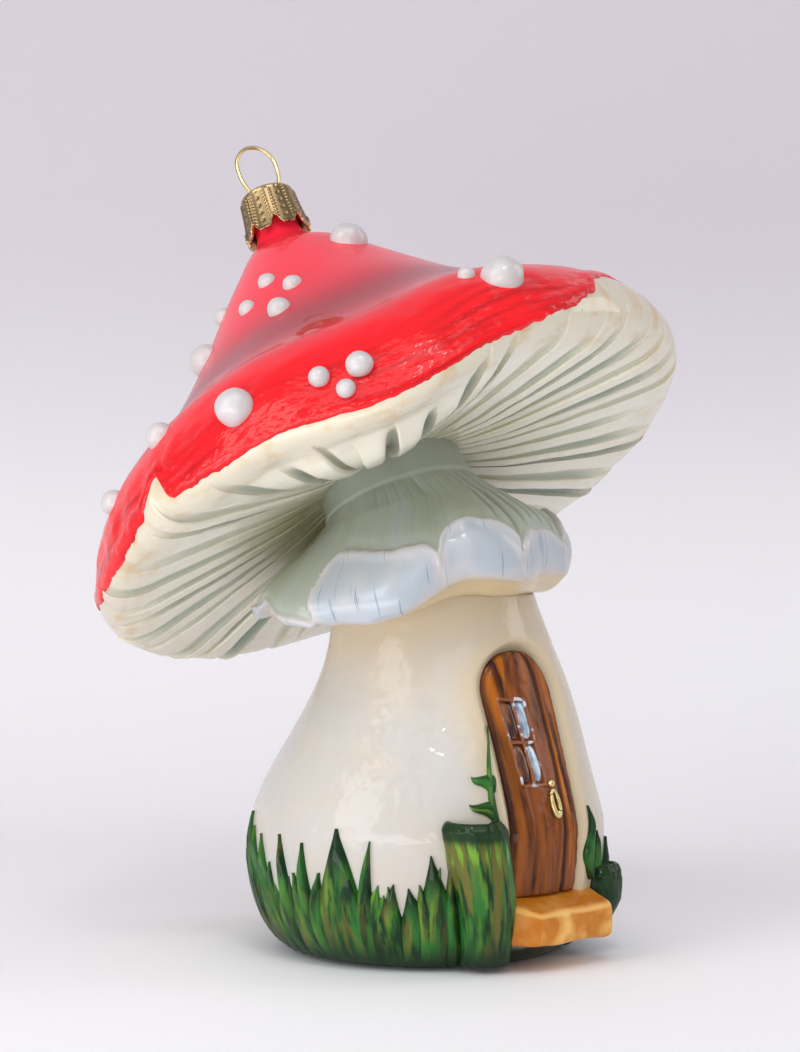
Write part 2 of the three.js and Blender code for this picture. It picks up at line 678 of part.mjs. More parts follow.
function crownCap() {
  const bottom = roof - CROWN_SKIRT;
  const ease = 0.6; // rounding of the roof's edge
  const wide = crownTopRadius + CROWN_FLARE;
  const outside = [[wide, bottom], [lerp(wide, crownTopRadius, 0.75), lerp(bottom, roof, 0.5)],
    [crownTopRadius, roof - ease], [crownTopRadius - ease, roof], [0, roof]];
  const inside = [[0, roof - CROWN_WALL], [crownTopRadius - CROWN_WALL, roof - CROWN_WALL],
    [wide - CROWN_WALL, bottom], [wide, bottom]];
  const ribbed = warp(lathe([...outside, ...inside], CROWN_SIDES), (p) => {
    const radius = Math.max(Math.hypot(p.x, p.y), RIB_HEIGHT);
    const column = Math.round(Math.atan2(p.x, p.y) / (2 * Math.PI) * CROWN_SIDES);
    const isRib = (column + CROWN_SIDES) % (CROWN_SIDES / PETALS) === 0;
    const wider = 1 + (isRib && radius > NECK_RADIUS ? RIB_HEIGHT / radius : 0);
    return p.set(p.x * wider, p.y * wider, p.z);
  });
  let crown = solid(ribbed);
  const half = Math.PI * wide / PETALS;
  const notch = new THREE.Shape([[-half, -1], [half, -1], [half, 0], [0, PETAL_LENGTH], [-half, 0]]
    .map((c) => new THREE.Vector2(...c)));
  for (let i = 0; i < PETALS; i += 1) {
    const cutter = new THREE.ExtrudeGeometry(notch, { depth: 2 * wide, bevelEnabled: false });
    cutter.rotateX(Math.PI / 2).translate(0, 0, bottom).rotateZ(2 * Math.PI * i / PETALS);
    crown = crown.subtract(solid(cutter));
  }
  const bore = WIRE_RADIUS + WIRE_CLEARANCE;
  const hole = new THREE.CylinderGeometry(bore, bore, 2, 12);
  hole.rotateX(Math.PI / 2).translate(0, 0, roof);
  const turn = radians(HANGER_TURN);
  for (const side of [-1, 1]) {
    const x = side * legOffset * Math.cos(turn);
    const y = side * legOffset * Math.sin(turn);
    crown = crown.subtract(solid(hole.clone().translate(x, y, 0)));
  }
  return shape(crown);
}

// Hanger: up one leg, round the loop and down the other leg, in the plane of X and Z
function hangerWire() {
  const half = LOOP_WIDTH / 2;
  const right = [
    [legOffset, roof - LEG_LENGTH],
    [legOffset, roof - LEG_LENGTH / 2],
    [legOffset, roof],
    [lerp(legOffset, half, 0.2), roof + LOOP_HEIGHT * 0.1],
    [half, roof + LOOP_HEIGHT * 0.45],
    [half * 0.8, roof + LOOP_HEIGHT * 0.82],
  ];
  const left = right.map(([x, z]) => [-x, z]);
  const route = [...left, [0, roof + LOOP_HEIGHT], ...right.reverse()];
  const extrudePath = new THREE.CatmullRomCurve3(route.map(([x, z]) => new THREE.Vector3(x, 0, z)));
  const section = new THREE.Shape().absarc(0, 0, WIRE_RADIUS, 0, 2 * Math.PI);
  const options = { extrudePath, steps: 48, curveSegments: 4, bevelEnabled: false };
  return new THREE.ExtrudeGeometry(section, options);
}

const ornament = new THREE.Group();
ornament.add(
  piece('stem_shell', shape(stemShell()), 'opal'),
  piece('door_leaf', shape(doorLeaf()), 'wood'),
  piece('window_frame', shape(windowFrame()), 'wood'),
  piece('knocker_ring', knockerRing(), 'gold'),
  piece('knocker_stud', knockerStud(), 'gold'),
  piece('door_step', shape(doorStep()), 'ochre'),
  piece('bush_left', shape(bushBody(LEFT_BUSH, -1)), 'green'),
  piece('bush_right', shape(bushBody(RIGHT_BUSH, 1)), 'green'),
  piece('grass_ring', grassRing(), 'green'),
  piece('door_tuft', shape(doorTuft()), 'green'),
  piece('door_vine', shape(doorVine()), 'green'),
);
for (const light of windowLights()) {
  ornament.add(piece(light[0], shape(windowPane(light)), 'silver'));
}

const cap = new THREE.Group();
cap.rotation.set(-radians(CAP_TILT), 0, radians(LEAN_TURN), 'ZXY');
cap.position.set(0, CAP_BACK, CAP_LEVEL).applyAxisAngle(new THREE.Vector3(0, 0, 1), radians(LEAN_TURN));
cap.updateMatrix();
ornament.add(piece('collar', collar(cap.matrix), 'greyBlue'));
cap.add(
  piece('cap_shell', shape(capShell()), 'red'),
  piece('gill_plate', gillPlate(), 'cream'),
);
const capGrown = capFilled(SEAM, 0);
WARTS.forEach((spot, i) => cap.add(piece(`wart_${i + 1}`, shape(wart(spot, capGrown)), 'white')));
ornament.add(cap);

const neck = new THREE.Group();
neck.position.z = CAP_HEIGHT;
neck.rotation.x = radians(CAP_TILT - NECK_TILT);
const hanger = piece('hanger_wire', hangerWire(), 'brass');
hanger.rotation.z = radians(HANGER_TURN);
neck.add(piece('crown_cap', crownCap(), 'brass'), hanger);
cap.add(neck);

export default ornament;
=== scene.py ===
"""Toadstool house ornament: the painted glass body, its crown and hanger, and a small studio."""

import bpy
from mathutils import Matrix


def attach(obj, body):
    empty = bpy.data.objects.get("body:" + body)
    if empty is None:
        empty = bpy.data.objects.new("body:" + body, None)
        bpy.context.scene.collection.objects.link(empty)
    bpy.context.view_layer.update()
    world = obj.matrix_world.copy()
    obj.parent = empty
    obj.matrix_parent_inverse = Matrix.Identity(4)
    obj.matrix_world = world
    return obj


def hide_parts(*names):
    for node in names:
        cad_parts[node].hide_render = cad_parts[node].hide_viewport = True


bl_info = {
    "name": "Toadstool house ornament",
    "version": (1, 0, 0),
    "blender": (4, 5, 0),
    "location": "3D View > Sidebar > Ornament",
    "description": "Builds the painted toadstool house on its CAD frame, with a studio round it",
    "category": "Object",
}

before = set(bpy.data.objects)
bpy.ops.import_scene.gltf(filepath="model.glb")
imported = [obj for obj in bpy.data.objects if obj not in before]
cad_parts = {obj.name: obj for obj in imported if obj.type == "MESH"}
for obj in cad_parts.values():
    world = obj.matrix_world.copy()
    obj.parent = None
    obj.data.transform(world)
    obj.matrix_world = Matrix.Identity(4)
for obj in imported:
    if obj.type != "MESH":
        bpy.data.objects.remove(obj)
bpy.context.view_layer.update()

import math
from bisect import bisect
from random import Random

import bmesh
import bpy
from bpy.props import FloatProperty, FloatVectorProperty, IntProperty, PointerProperty
from mathutils import Matrix, Quaternion, Vector, noise

MM = 0.001
UP = Vector((0, 0, 1))
TAU = math.tau


def linear(code):
    """A colour written as sRGB hex, in linear light."""
    shares = [int(code[i:i + 2], 16) / 255 for i in (1, 3, 5)]
    return tuple(s / 12.92 if s <= 0.04045 else ((s + 0.055) / 1.055) ** 2.4 for s in shares)


def length(name, description, mm):
    return FloatProperty(name=name, description=description, default=mm * MM, unit="LENGTH", precision=5)


def angle(name, description, degrees):
    return FloatProperty(name=name, description=description, default=math.radians(degrees), subtype="ANGLE")


def share(name, description, value):
    return FloatProperty(name=name, description=description, default=value)


def count(name, description, number):
    return IntProperty(name=name, description=description, default=number, min=1)


def tint(name, description, code):
    return FloatVectorProperty(
        name=name, description=description, default=linear(code), subtype="COLOR", size=3, min=0, max=1
    )


class StemSizes(bpy.types.PropertyGroup):
    """The opal stem, a bellied glass shell that leans a little to one side."""

    base_radius: length("Base radius", "Radius of the flat foot", 20)
    belly_radius: length("Belly radius", "Radius at the widest", 28.5)
    belly_height: length("Belly height", "Height of the widest place", 20)
    top_radius: length("Top radius", "Radius under the collar", 16.5)
    height: length("Height", "Height of the stem's top", 57)
    sway: length("Sway", "How far the upper stem leans out", 2.7)
    sway_turn: angle("Sway turn", "The way it leans, from the door side", 75)
    sway_height: length("Sway height", "Where it leans out furthest", 44)
    wall: length("Wall", "Thickness of the glass", 1.2)
    ripple: length("Ripple", "Unevenness of the blown surface", 0.22)


class DoorSizes(bpy.types.PropertyGroup):
    """The door with its niche, window and knocker."""

    width: length("Width", "Width of the leaf", 14)
    lean: length("Lean", "The leaf's head stands to the right of its foot by this much", 2.6)
    spread: length("Spread", "The leaf's right edge stands out at its foot by this much", 0.9)
    sill: length("Sill", "Height of the leaf's foot", 11.4)
    height: length("Height", "Height of the leaf", 37)
    thickness: length("Thickness", "Thickness of the leaf", 1.2)
    depth: length("Depth", "How far the leaf's face lies under the stem's surface", 0.75)
    niche_margin: length("Niche margin", "The niche is wider than the leaf by this much", 1.5)
    niche_depth: length("Niche depth", "Depth of the niche", 2.2)
    niche_round: length("Niche rounding", "Width of the niche's rounded edge", 1.7)
    groove: length("Groove", "Depth of the joints between the boards", 0.3)
    window_width: length("Window width", "Width of the window", 4.8)
    window_height: length("Window height", "Height of the window", 13)
    window_sill: length("Window sill", "Height of the window's foot", 28)
    window_middle: length("Window middle", "Sideways place of the window", -1.9)
    bar: length("Bar", "Thickness of the window's bars", 0.55)
    ring_width: length("Ring width", "Width of the knocker's ring", 2.2)
    ring_height: length("Ring height", "Height of the knocker's ring", 4.6)
    ring_wire: length("Ring wire", "Half the thickness of the ring", 0.36)
    ring_side: length("Ring side", "Sideways place of the ring", 1.2)
    ring_level: length("Ring level", "Height of the ring's middle", 25.2)
    stud: length("Stud", "Radius of the stud that the ring hangs on", 0.62)


class PlantSizes(bpy.types.PropertyGroup):
    """The doorstep, bushes, grass and climbing stem."""

    step_width: length("Step width", "Width of the doorstep", 20.4)
    step_middle: length("Step middle", "Its sideways place", 0.4)
    step_reach: length("Step reach", "Front of the doorstep, from the stem's axis", 31.2)
    step_corner: length("Step corner", "Size of its cut left corner", 3.3)
    step_round: length("Step rounding", "Size of its right corner", 1)
    step_foot: length("Step foot", "Height of its underside", 4.2)
    step_front: length("Step front", "Height of its top at the front", 9.2)
    left_radius: length("Left bush radius", "Radius of the bush left of the door", 5)
    left_side: length("Left bush side", "Its sideways place", -12.6)
    left_foot: length("Left bush foot", "Height of its foot", 1)
    left_top: length("Left bush top", "Height of its top", 23.6)
    right_radius: length("Right bush radius", "Radius of the bush right of the door", 4)
    right_side: length("Right bush side", "Its sideways place", 13.9)
    right_foot: length("Right bush foot", "Height of its foot", 3)
    right_top: length("Right bush top", "Height of its top", 14.4)
    left_lean: length("Left bush lean", "Its top stands to the left of its foot by this much", 3.4)
    grass_foot: length("Grass foot", "Height of the grass band's foot", 0.8)
    grass_band: length("Grass band", "Height of the band that the blades grow from", 11)
    grass_tall: length("Tall blades", "Height of the tips of the tall blades", 20.5)
    grass_width: length("Blade width", "Width of a blade at its foot", 5)
    grass_thick: length("Blade thickness", "How far a blade stands out", 1.1)
    stalk_width: length("Stalk width", "Width of the climbing stem", 1.2)
    leaf_width: length("Leaf width", "Width of its leaves", 2.4)


class CollarSizes(bpy.types.PropertyGroup):
    """The skirt under the gills, with its folded hem."""

    top_radius: length("Top radius", "Radius at the gills", 11.8)
    hem_radius: length("Hem radius", "Radius at the hem", 24.7)
    hem_height: length("Hem height", "Height of the hem above the stem's top", 4.5)
    folds: count("Folds", "Small folds in the hem", 8)
    wave: length("Wave", "Depth of the small folds", 0.7)
    wave_turn: angle("Wave turn", "Where a small fold hangs", -50)
    sags: count("Sags", "Wide waves in the hem", 4)
    sag: length("Sag", "Depth of the wide waves", 1.8)
    sag_turn: angle("Sag turn", "Where a wide wave hangs", -69)
    droop: length("Droop", "The hem hangs lower on one side by this much", 6.6)
    droop_turn: angle("Droop turn", "The side where it hangs lower", -91)
    shift: length("Shift", "It stands out further on that side", 4)
    dip: length("Dip", "The far side's rise is cut down at the right by this much", 4.2)
    dip_turn: angle("Dip turn", "Where it is cut down", 66)
    dip_spread: angle("Dip spread", "How far round to each side it is", 62)
    cuff_rise: length("Cuff relief", "How far the lobes of the hem stand out from the skirt", 0.7)


class CapSizes(bpy.types.PropertyGroup):
    """The red cap, its warts and the cream gills under it."""

    tilt: angle("Tilt", "How far the cap leans back", 32.6)
    lean_turn: angle("Lean turn", "The way it leans, from straight back", 2)
    back: length("Back", "Middle of the rim's plane, behind the stem's axis", 5.3)
    level: length("Level", "Height of the rim's plane", 70.7)
    height: length("Height", "From the rim's plane to the neck", 54)
    top_radius: length("Top radius", "Radius at the neck", 4.9)
    shoulder_radius: length("Shoulder radius", "Radius where the lip meets the flank", 43.5)
    shoulder_height: length("Shoulder height", "Height there", 17.2)
    rim_radius: length("Rim radius", "Radius of the rim", 50.6)
    rim_height: length("Rim height", "Height of the rim", 1)
    side_rise: length("Side rise", "The rim stands higher on one side by this much", 2.9)
    droop: length("Droop", "The rim hangs lower at one place by this much", 3.6)
    droop_turn: angle("Droop turn", "Where it hangs lower", -44)
    droop_spread: angle("Droop spread", "How far round to each side it does", 27)
    wall: length("Wall", "Thickness of the glass", 1.2)
    coat: length("Coat", "Thickness of the red lacquer at its ragged edge", 0.42)
    gill_rise: length("Gill rise", "Height of the gills' inner edge", 6.2)
    gill_bow: share("Gill bow", "How soon the underside drops to the rim", 0.6)
    gills: count("Gills", "Number of gills", 40)
    gill_depth: length("Gill depth", "Depth of the pleats", 1.7)
    gill_lap: length("Gill overlap", "How far a pleat hangs over its neighbour", 0.5)
    lip_hang: length("Lip hang", "The underside hangs lower at the front by this much", 4.5)
    lip_turn: angle("Lip turn", "Where it hangs lower", -52)
    lip_spread: angle("Lip spread", "How far round to each side it does", 45)
    lip_bias: share("Lip bias", "Above 1 it hangs lowest nearer the rim", 1.5)
    wart_flatness: share("Wart flatness", "Height of a wart against its radius", 0.98)


class CrownSizes(bpy.types.PropertyGroup):
    """The stamped crown and the hanger wire."""

    neck_tilt: angle("Neck tilt", "How far the neck leans back", 25)
    neck_radius: length("Neck radius", "Radius of the glass neck", 3.9)
    neck_length: length("Neck length", "Length of the glass neck", 10)
    neck_wall: length("Neck wall", "Thickness of the neck's glass", 0.7)
    roof: length("Roof", "Height of the crown's roof above the neck's foot", 10.65)
    skirt: length("Skirt", "From the roof down to the petal tips", 8.6)
    radius: length("Radius", "Radius of the crown under its roof", 4.6)
    flare: length("Flare", "The petals stand out by this much", 0.9)
    wall: length("Wall", "Thickness of the sheet", 0.35)
    petals: count("Petals", "Petals round the crown", 8)
    petal: length("Petal", "Length of a petal", 2)
    relief: length("Relief", "Height of the stamped pattern", 0.36)
    wire: length("Wire", "Radius of the hanger wire", 0.35)
    turn: angle("Hanger turn", "Turn of the hanger in the crown", -25)
    leg: length("Leg", "Length of the legs inside the neck", 8)
    leg_offset: length("Leg offset", "Distance of a leg from the neck's axis", 2.4)
    loop_width: length("Loop width", "Width of the loop", 7.1)
    loop_height: length("Loop height", "Height of the loop above the roof", 9.25)


class Colours(bpy.types.PropertyGroup):
    """The paints and metals."""

    red: tint("Red", "Cap lacquer", "#f60c18")
    deep_red: tint("Deep red", "Darker brush strokes in the cap", "#b20009")
    crimson: tint("Crimson", "Shade round the cap's waist", "#8e0822")
    pink: tint("Pink", "Thin lacquer on the upper cap", "#fb3048")
    cream: tint("Cream", "Gills and rim", "#f4f0de")
    valley: tint("Valley", "Shade between the gills", "#97a79c")
    stain: tint("Stain", "Brush stains on the cream", "#d2a768")
    khaki: tint("Khaki", "Shade of the gills by the collar", "#a8a066")
    white: tint("White", "Warts", "#cac5c4")
    opal: tint("Opal", "Stem", "#c5c1bb")
    tan: tint("Tan", "Warm shading of the stem", "#d8c197")
    grey: tint("Grey", "Collar's skirt", "#a3ab99")
    frost: tint("Frost", "Collar's folded hem", "#b1b9c1")
    wood: tint("Wood", "Door boards", "#8a4a1f")
    dark_wood: tint("Dark wood", "Dark strokes in the door", "#3a180a")
    ochre: tint("Ochre", "Light strokes in the door, dark ones in the step", "#bc690c")
    step: tint("Step", "Doorstep", "#cb7d1e")
    buff: tint("Buff", "Light patches of the step", "#f2bb62")
    silver: tint("Silver", "Silver strokes of the window", "#c9d4de")
    blue: tint("Blue", "Blue shade in the panes", "#6f88a3")
    amber: tint("Amber", "Painted panes", "#9a5a2c")
    gold: tint("Gold", "Knocker", "#dccb8c")
    leaf: tint("Leaf", "Grass and leaves", "#2c6c29")
    dark_leaf: tint("Dark leaf", "Shaded grass", "#0d2e12")
    bright_leaf: tint("Bright leaf", "Light strokes in the grass", "#6f9a30")
    olive: tint("Olive", "Brown strokes in the grass", "#6b652b")
    brass: tint("Brass", "Crown", "#cfb284")
    dark_brass: tint("Dark brass", "Hollows of the crown", "#55472b")
    wire: tint("Wire", "Hanger wire", "#d8c592")
    floor: tint("Floor", "Studio floor", "#fbfafc")
    wall: tint("Wall", "Studio wall", "#d9d2d8")


class Toadstool(bpy.types.PropertyGroup):
    """All the sizes and colours of the ornament."""

    stem: PointerProperty(type=StemSizes)
    door: PointerProperty(type=DoorSizes)
    plants: PointerProperty(type=PlantSizes)
    collar: PointerProperty(type=CollarSizes)
    cap: PointerProperty(type=CapSizes)
    crown: PointerProperty(type=CrownSizes)
    colours: PointerProperty(type=Colours)


# Outline shapes between two ends: shares of the span for the first and the last handle
FOOT_BOW = (0.53, 0.05, 0, 0.665)
STEM_BOW = (0, 0.176, 0.16, 0.385)
HEM_BOW = (0.59, -0.05, 0, 0.64)
SKIRT_BOW = (0, 0.34, 0, 0.69)
LIP_BOW = (-0.625, 0.373, 0.597, 0.148)
FLANK_BOW = (0.412, 0.192, 0.22, 0.163)

# Warts: turn in degrees, distance down the flank from the neck and diameter in millimetres
WARTS = (
    (-6, 14, 6.4), (-66, 19.8, 3.2), (-54, 25.8, 3.3), (-76.5, 24.8, 3.2), (-61, 32.9, 4.1),
    (-110, 16.5, 3.2), (-108, 27, 5.8), (-69.5, 65.5, 6), (-90, 57, 4.6), (-47.8, 65.9, 4.1),
    (-54.6, 65.9, 3.2), (-51.4, 69, 2.9), (-17, 62.4, 6.5), (-21.5, 58.2, 2.8), (-108, 60, 4.2),
    (38, 30, 5.6), (62, 52, 6.6), (71, 58, 3.4), (100, 24, 4.2), (112, 30, 3.2),
    (128, 57, 6.4), (158, 37, 6), (-158, 55, 6.4), (-150, 60, 3.3),
)

# Edge of the red lacquer: turn in degrees and height up the lip from the rim in millimetres
LACQUER_EDGE = (
    (-180, 7.5), (-140, 7.5), (-132, 4.8), (-121, 2.4), (-106, 1.6), (-95.7, 3), (-88.4, 7.2), (-87, 2),
    (-80, 1.2), (-73, 0.4), (-20, 0.4), (-16, 1.2), (-9, 2.4), (-1.5, 4.8), (3.8, 8.8), (10, 11), (20, 12),
    (90, 10.5), (130, 8), (180, 7.5),
)

# Lobes of the collar's hem: turn of the start in degrees, height there and at the end in millimetres
HEM_LOBES = (
    (-130, 3, 3), (-82, 12, 6), (-33, 7, 6.5), (-1, 5, 4.5), (35, 7, 7),
    (75, 9, 8), (118, 7, 7), (156, 9, 8), (194, 7, 5), (230, 3, 3),
)

# Grass blades at the front: turn of the tip in degrees, its height and the blade's width in millimetres
BLADES = (
    (-124, 22.4, 3.2), (-118, 20.4, 2.4), (-110.5, 19.6, 3), (-104, 15.5, 3), (-98, 20.2, 2.8),
    (-92, 14.5, 3.4), (-86.5, 19.4, 2.8), (-80, 15, 3.6), (-74.5, 22, 7), (-69, 16.5, 5),
    (-62, 20.4, 2.6), (-57, 13.6, 3.6), (-54.5, 14, 4.4), (-51, 13.4, 4.6), (-47.5, 14, 4),
    (-44, 18.4, 5), (-40.5, 16.6, 3.4), (-37, 19.2, 1.8),
)

# Camera: turn in degrees, place aside, away and up in millimetres, lens and sensor in millimetres
CAMERA_TURN = -43.9
CAMERA_PLACE = (-4.5, -380, 68)
CAMERA_LENS = 80.03
CAMERA_SENSOR = 36

# Lamps: place and target like the camera's place, width and height in millimetres, power in watts
MIDDLE = (0, 0, 62)
LAMPS = (
    ("key_softbox", (-420, -330, 300), MIDDLE, 300, 360, 1.05),
    ("front_softbox", (120, -520, 430), MIDDLE, 420, 300, 0.38),
    ("top_softbox", (-40, -300, 540), (0, -140, 0), 600, 300, 0.8),
    ("top_window", (40, -330, 520), MIDDLE, 90, 50, 0.26),
    ("right_softbox", (520, 60, 330), MIDDLE, 200, 420, 0.6),
    ("low_softbox", (-150, -240, 6), (0, 0, 80), 440, 120, 0.62),
)
SKY = "#eceef6"
SKY_STRENGTH = 0.4

# The door's side, to each way: the stem is meshed finely there, and the grass band starts beside it
DOOR_SIDE = math.radians(42)

# How far the backs of leaves and blades lie in the stem's glass
TUCK = 0.4 * MM

# Points nearer than the first are one point, and edges shorter than the second are none
WELD = 0.002 * MM
SLIVER = 0.0005 * MM


def settings():
    return bpy.context.scene.toadstool


def towards(turn):
    """The way that a turn about the upright axis points: none is the door side."""
    return Vector((math.sin(turn), -math.cos(turn), 0))


def lerp(a, b, t):
    return a + (b - a) * t


def smooth(low, high, value):
    """Rises smoothly from 0 to 1 between two values."""
    t = min(max((value - low) / (high - low), 0), 1)
    return t * t * (3 - 2 * t)


def steps(start, end, number):
    return [lerp(start, end, i / number) for i in range(number + 1)]


def circle(number):
    """Turns evenly round a whole circle."""
    return steps(0, TAU, number)[:-1]


def signed(turn):
    """A turn as it lies to either side of the door."""
    return (turn + math.pi) % TAU - math.pi


def hump(distance, spread):
    """1 in the middle, falling smoothly to 0 at the spread to each side."""
    return math.cos(min(abs(distance) / spread, 1) * math.pi / 2) ** 2


def weights(t):
    """Shares of the four points of a bowed line at a place along it."""
    return (1 - t) ** 3, 3 * (1 - t) ** 2 * t, 3 * (1 - t) * t * t, t ** 3


def grain(point, size, seed=0):
    """Even noise from -1 to 1 with lumps of about one size."""
    return noise.noise(point / size + Vector((seed * 7.3, seed * 3.1, -seed * 5.7)))


def bow(start, end, handles, number):
    """Points of a bowed outline as (radius, height)."""
    a, b, c, d = handles
    wide = end[0] - start[0]
    tall = end[1] - start[1]
    curve = (start, (start[0] + a * wide, start[1] + b * tall), (end[0] - c * wide, end[1] - d * tall), end)
    points = []
    for t in steps(0, 1, number):
        points.append(tuple(sum(s * p[k] for s, p in zip(weights(t), curve)) for k in (0, 1)))
    return points


def bracket(marks, value):
    """The entry of a rising list that comes after a value, and never its first."""
    return min(max(bisect(marks, value), 1), len(marks) - 1)


def walk(outline):
    """The outline's length, and a function from a distance along it to radius, height and normal."""
    marks = [0]
    for before, after in zip(outline, outline[1:]):
        marks.append(marks[-1] + math.dist(before, after))

    def at(distance):
        i = bracket(marks, distance)
        (r0, h0), (r1, h1) = outline[i - 1], outline[i]
        run = marks[i] - marks[i - 1]
        t = (distance - marks[i - 1]) / run
        return lerp(r0, r1, t), lerp(h0, h1, t), (h1 - h0) / run, (r0 - r1) / run

    return marks[-1], at


def arch_distance(x, z, half, bottom, top):
    """How far a place lies outside an arched outline; inside it is negative."""
    if z > top - half:
        return math.hypot(x, z - top + half) - half
    return max(abs(x) - half, bottom - z)


def skin(name, columns, rows, place, around=True, shell=False):
    """A smooth mesh over a grid: place(column, row) gives a point, a pattern place and paint shares."""
    wide = len(columns)
    tall = len(rows)
    placed = [place(column, row) for row in rows for column in columns]
    faces = []
    marks = []
    for j in range(tall if shell else tall - 1):
        for i in range(wide if around else wide - 1):
            corners = ((i, j), (i + 1, j), (i + 1, j + 1), (i, j + 1))
            faces.append([b % tall * wide + a % wide for a, b in corners])
            for a, b in corners:
                u, v = placed[b % tall * wide + a % wide][1]
                if a == wide:
                    last = placed[b % tall * wide + wide - 1][1][0]
                    u = 2 * last - placed[b % tall * wide + wide - 2][1][0]
                marks.extend((u, v))
    mesh = bpy.data.meshes.new(name)
    mesh.from_pydata([p[0] for p in placed], [], faces)
    mesh.uv_layers.new(name="surface").data.foreach_set("uv", marks)
    paint = mesh.attributes.new("paint", "FLOAT_COLOR", "POINT")
    paint.data.foreach_set("color", [value for p in placed for value in (*p[2], 1)])
    return mesh


def slab(name, across, along, place):
    """A closed plate: place(s, t, side) gives its face at side 1, its back at 0, its edge between."""
    columns = [(s, 1) for s in across] + [(s, 0) for s in reversed(across)]
    rows = [(along[0], True)] + [(t, False) for t in along] + [(along[-1], True)]

    def corner(column, row):
        return place(column[0], row[0], 0.5 if row[1] else column[1])

    return skin(name, columns, rows, corner)


def tube(name, path, radius, sides=12):
    """A round bar along a path of points, with a radius for each of them."""

    def place(turn, i):
        ahead = (path[min(i + 1, len(path) - 1)] - path[max(i - 1, 0)]).normalized()
        side = ahead.cross(UP if abs(ahead.z) < 0.9 else Vector((1, 0, 0))).normalized()
        spoke = side * math.cos(turn) + side.cross(ahead) * math.sin(turn)
        return path[i] + spoke * radius(i), (turn * MM, i * MM), (0, 0, 0)

    return skin(name, circle(sides), range(len(path)), place)


def joined(name, meshes):
    """Several meshes as one, their seams welded and their faces turned outwards."""
    built = bmesh.new()
    for mesh in meshes:
        built.from_mesh(mesh)
        bpy.data.meshes.remove(mesh)
    bmesh.ops.remove_doubles(built, verts=built.verts, dist=WELD)
    bmesh.ops.dissolve_degenerate(built, edges=built.edges, dist=SLIVER)
    bmesh.ops.recalc_face_normals(built, faces=built.faces)
    whole = bpy.data.meshes.new(name)
    built.to_mesh(whole)
    built.free()
    whole.shade_smooth()
    return whole


def seat(name, meshes, paint, slot, *nodes, body="glass"):
    """Puts a finished piece in the scene: its paint, the CAD nodes it replaces, the body it rides on."""
    mesh = joined(name, meshes)
    mesh.materials.append(paint_material(paint))
    piece = bpy.data.objects.new(name, mesh)
    bpy.context.scene.collection.objects.link(piece)
    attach(piece, body)
    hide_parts(*nodes)


def add(tree, kind, inputs=None, stops=(), **options):
    """A node with its options, its inputs as values or links, and a ramp's stops."""
    node = tree.nodes.new(kind)
    for key, value in options.items():
        setattr(node, key, value)
    for key, value in (inputs or {}).items():
        if isinstance(value, bpy.types.NodeSocket):
            tree.links.new(value, node.inputs[key])
        else:
            node.inputs[key].default_value = value
    for i, (position, colour) in enumerate(stops):
        elements = node.color_ramp.elements
        element = elements[i] if i < 2 else elements.new(position)
        element.position = position
        element.color = colour
    return node


def ink(colour):
    """A paint by its name in the panel; a socket or a value stays as it is."""
    if isinstance(colour, str):
        return (*getattr(settings().colours, colour), 1)
    return colour


def grey(value):
    return (value, value, value, 1)


def blend(tree, factor, a, b):
    """One colour over another."""
    inputs = {0: factor, 6: ink(a), 7: ink(b)}
    return add(tree, "ShaderNodeMix", inputs, data_type="RGBA").outputs[2]


def pattern(tree, size, along=None, detail=3, low=0.4, high=0.6, surface=True):
    """Noise with lumps of a real size, or strokes where a length is given, cut between two levels."""
    if surface:
        where = add(tree, "ShaderNodeUVMap", uv_map="surface").outputs["UV"]
    else:
        where = add(tree, "ShaderNodeTexCoord").outputs["Object"]
    scale = (1 / size, 1 / (along or size), 1 / size)
    where = add(tree, "ShaderNodeMapping", {"Vector": where, "Scale": scale}).outputs["Vector"]
    lumps = add(tree, "ShaderNodeTexNoise", {"Vector": where, "Scale": 1, "Detail": detail}).outputs["Fac"]
    ramp = add(tree, "ShaderNodeValToRGB", {"Fac": lumps}, [(low, grey(0)), (high, grey(1))])
    return ramp.outputs["Color"]


def painted(tree):
    """The three paint shares that a mesh carries."""
    paint = add(tree, "ShaderNodeAttribute", attribute_name="paint").outputs["Color"]
    return add(tree, "ShaderNodeSeparateColor", {"Color": paint}).outputs


def times(tree, a, b):
    return add(tree, "ShaderNodeMath", {0: a, 1: b}, operation="MULTIPLY").outputs[0]


def relief(tree, height, depth):
    """Fine unevenness of a surface, with its real depth in metres."""
    inputs = {"Height": height, "Distance": depth, "Strength": 1}
    return add(tree, "ShaderNodeBump", inputs).outputs["Normal"]


def paint_material(build):
    """The material named as its function, made once, whose shader inputs come from build(tree)."""
    name = build.__name__
    if name in bpy.data.materials:
        return bpy.data.materials[name]
    material = bpy.data.materials.new(name)
    material.use_nodes = True
    tree = material.node_tree
    tree.nodes.clear()
    shader = add(tree, "ShaderNodeBsdfPrincipled", build(tree))
    add(tree, "ShaderNodeOutputMaterial", {"Surface": shader.outputs["BSDF"]})
    return material


def lacquer(colour, roughness=0.35, coat=0.7, coat_roughness=0.06, **more):
    """Shader inputs of paint under a clear glossy coat."""
    more |= {"Base_Color": ink(colour), "Roughness": roughness}
    more |= {"Coat_Weight": coat, "Coat_Roughness": coat_roughness}
    return {key.replace("_", " "): value for key, value in more.items()}


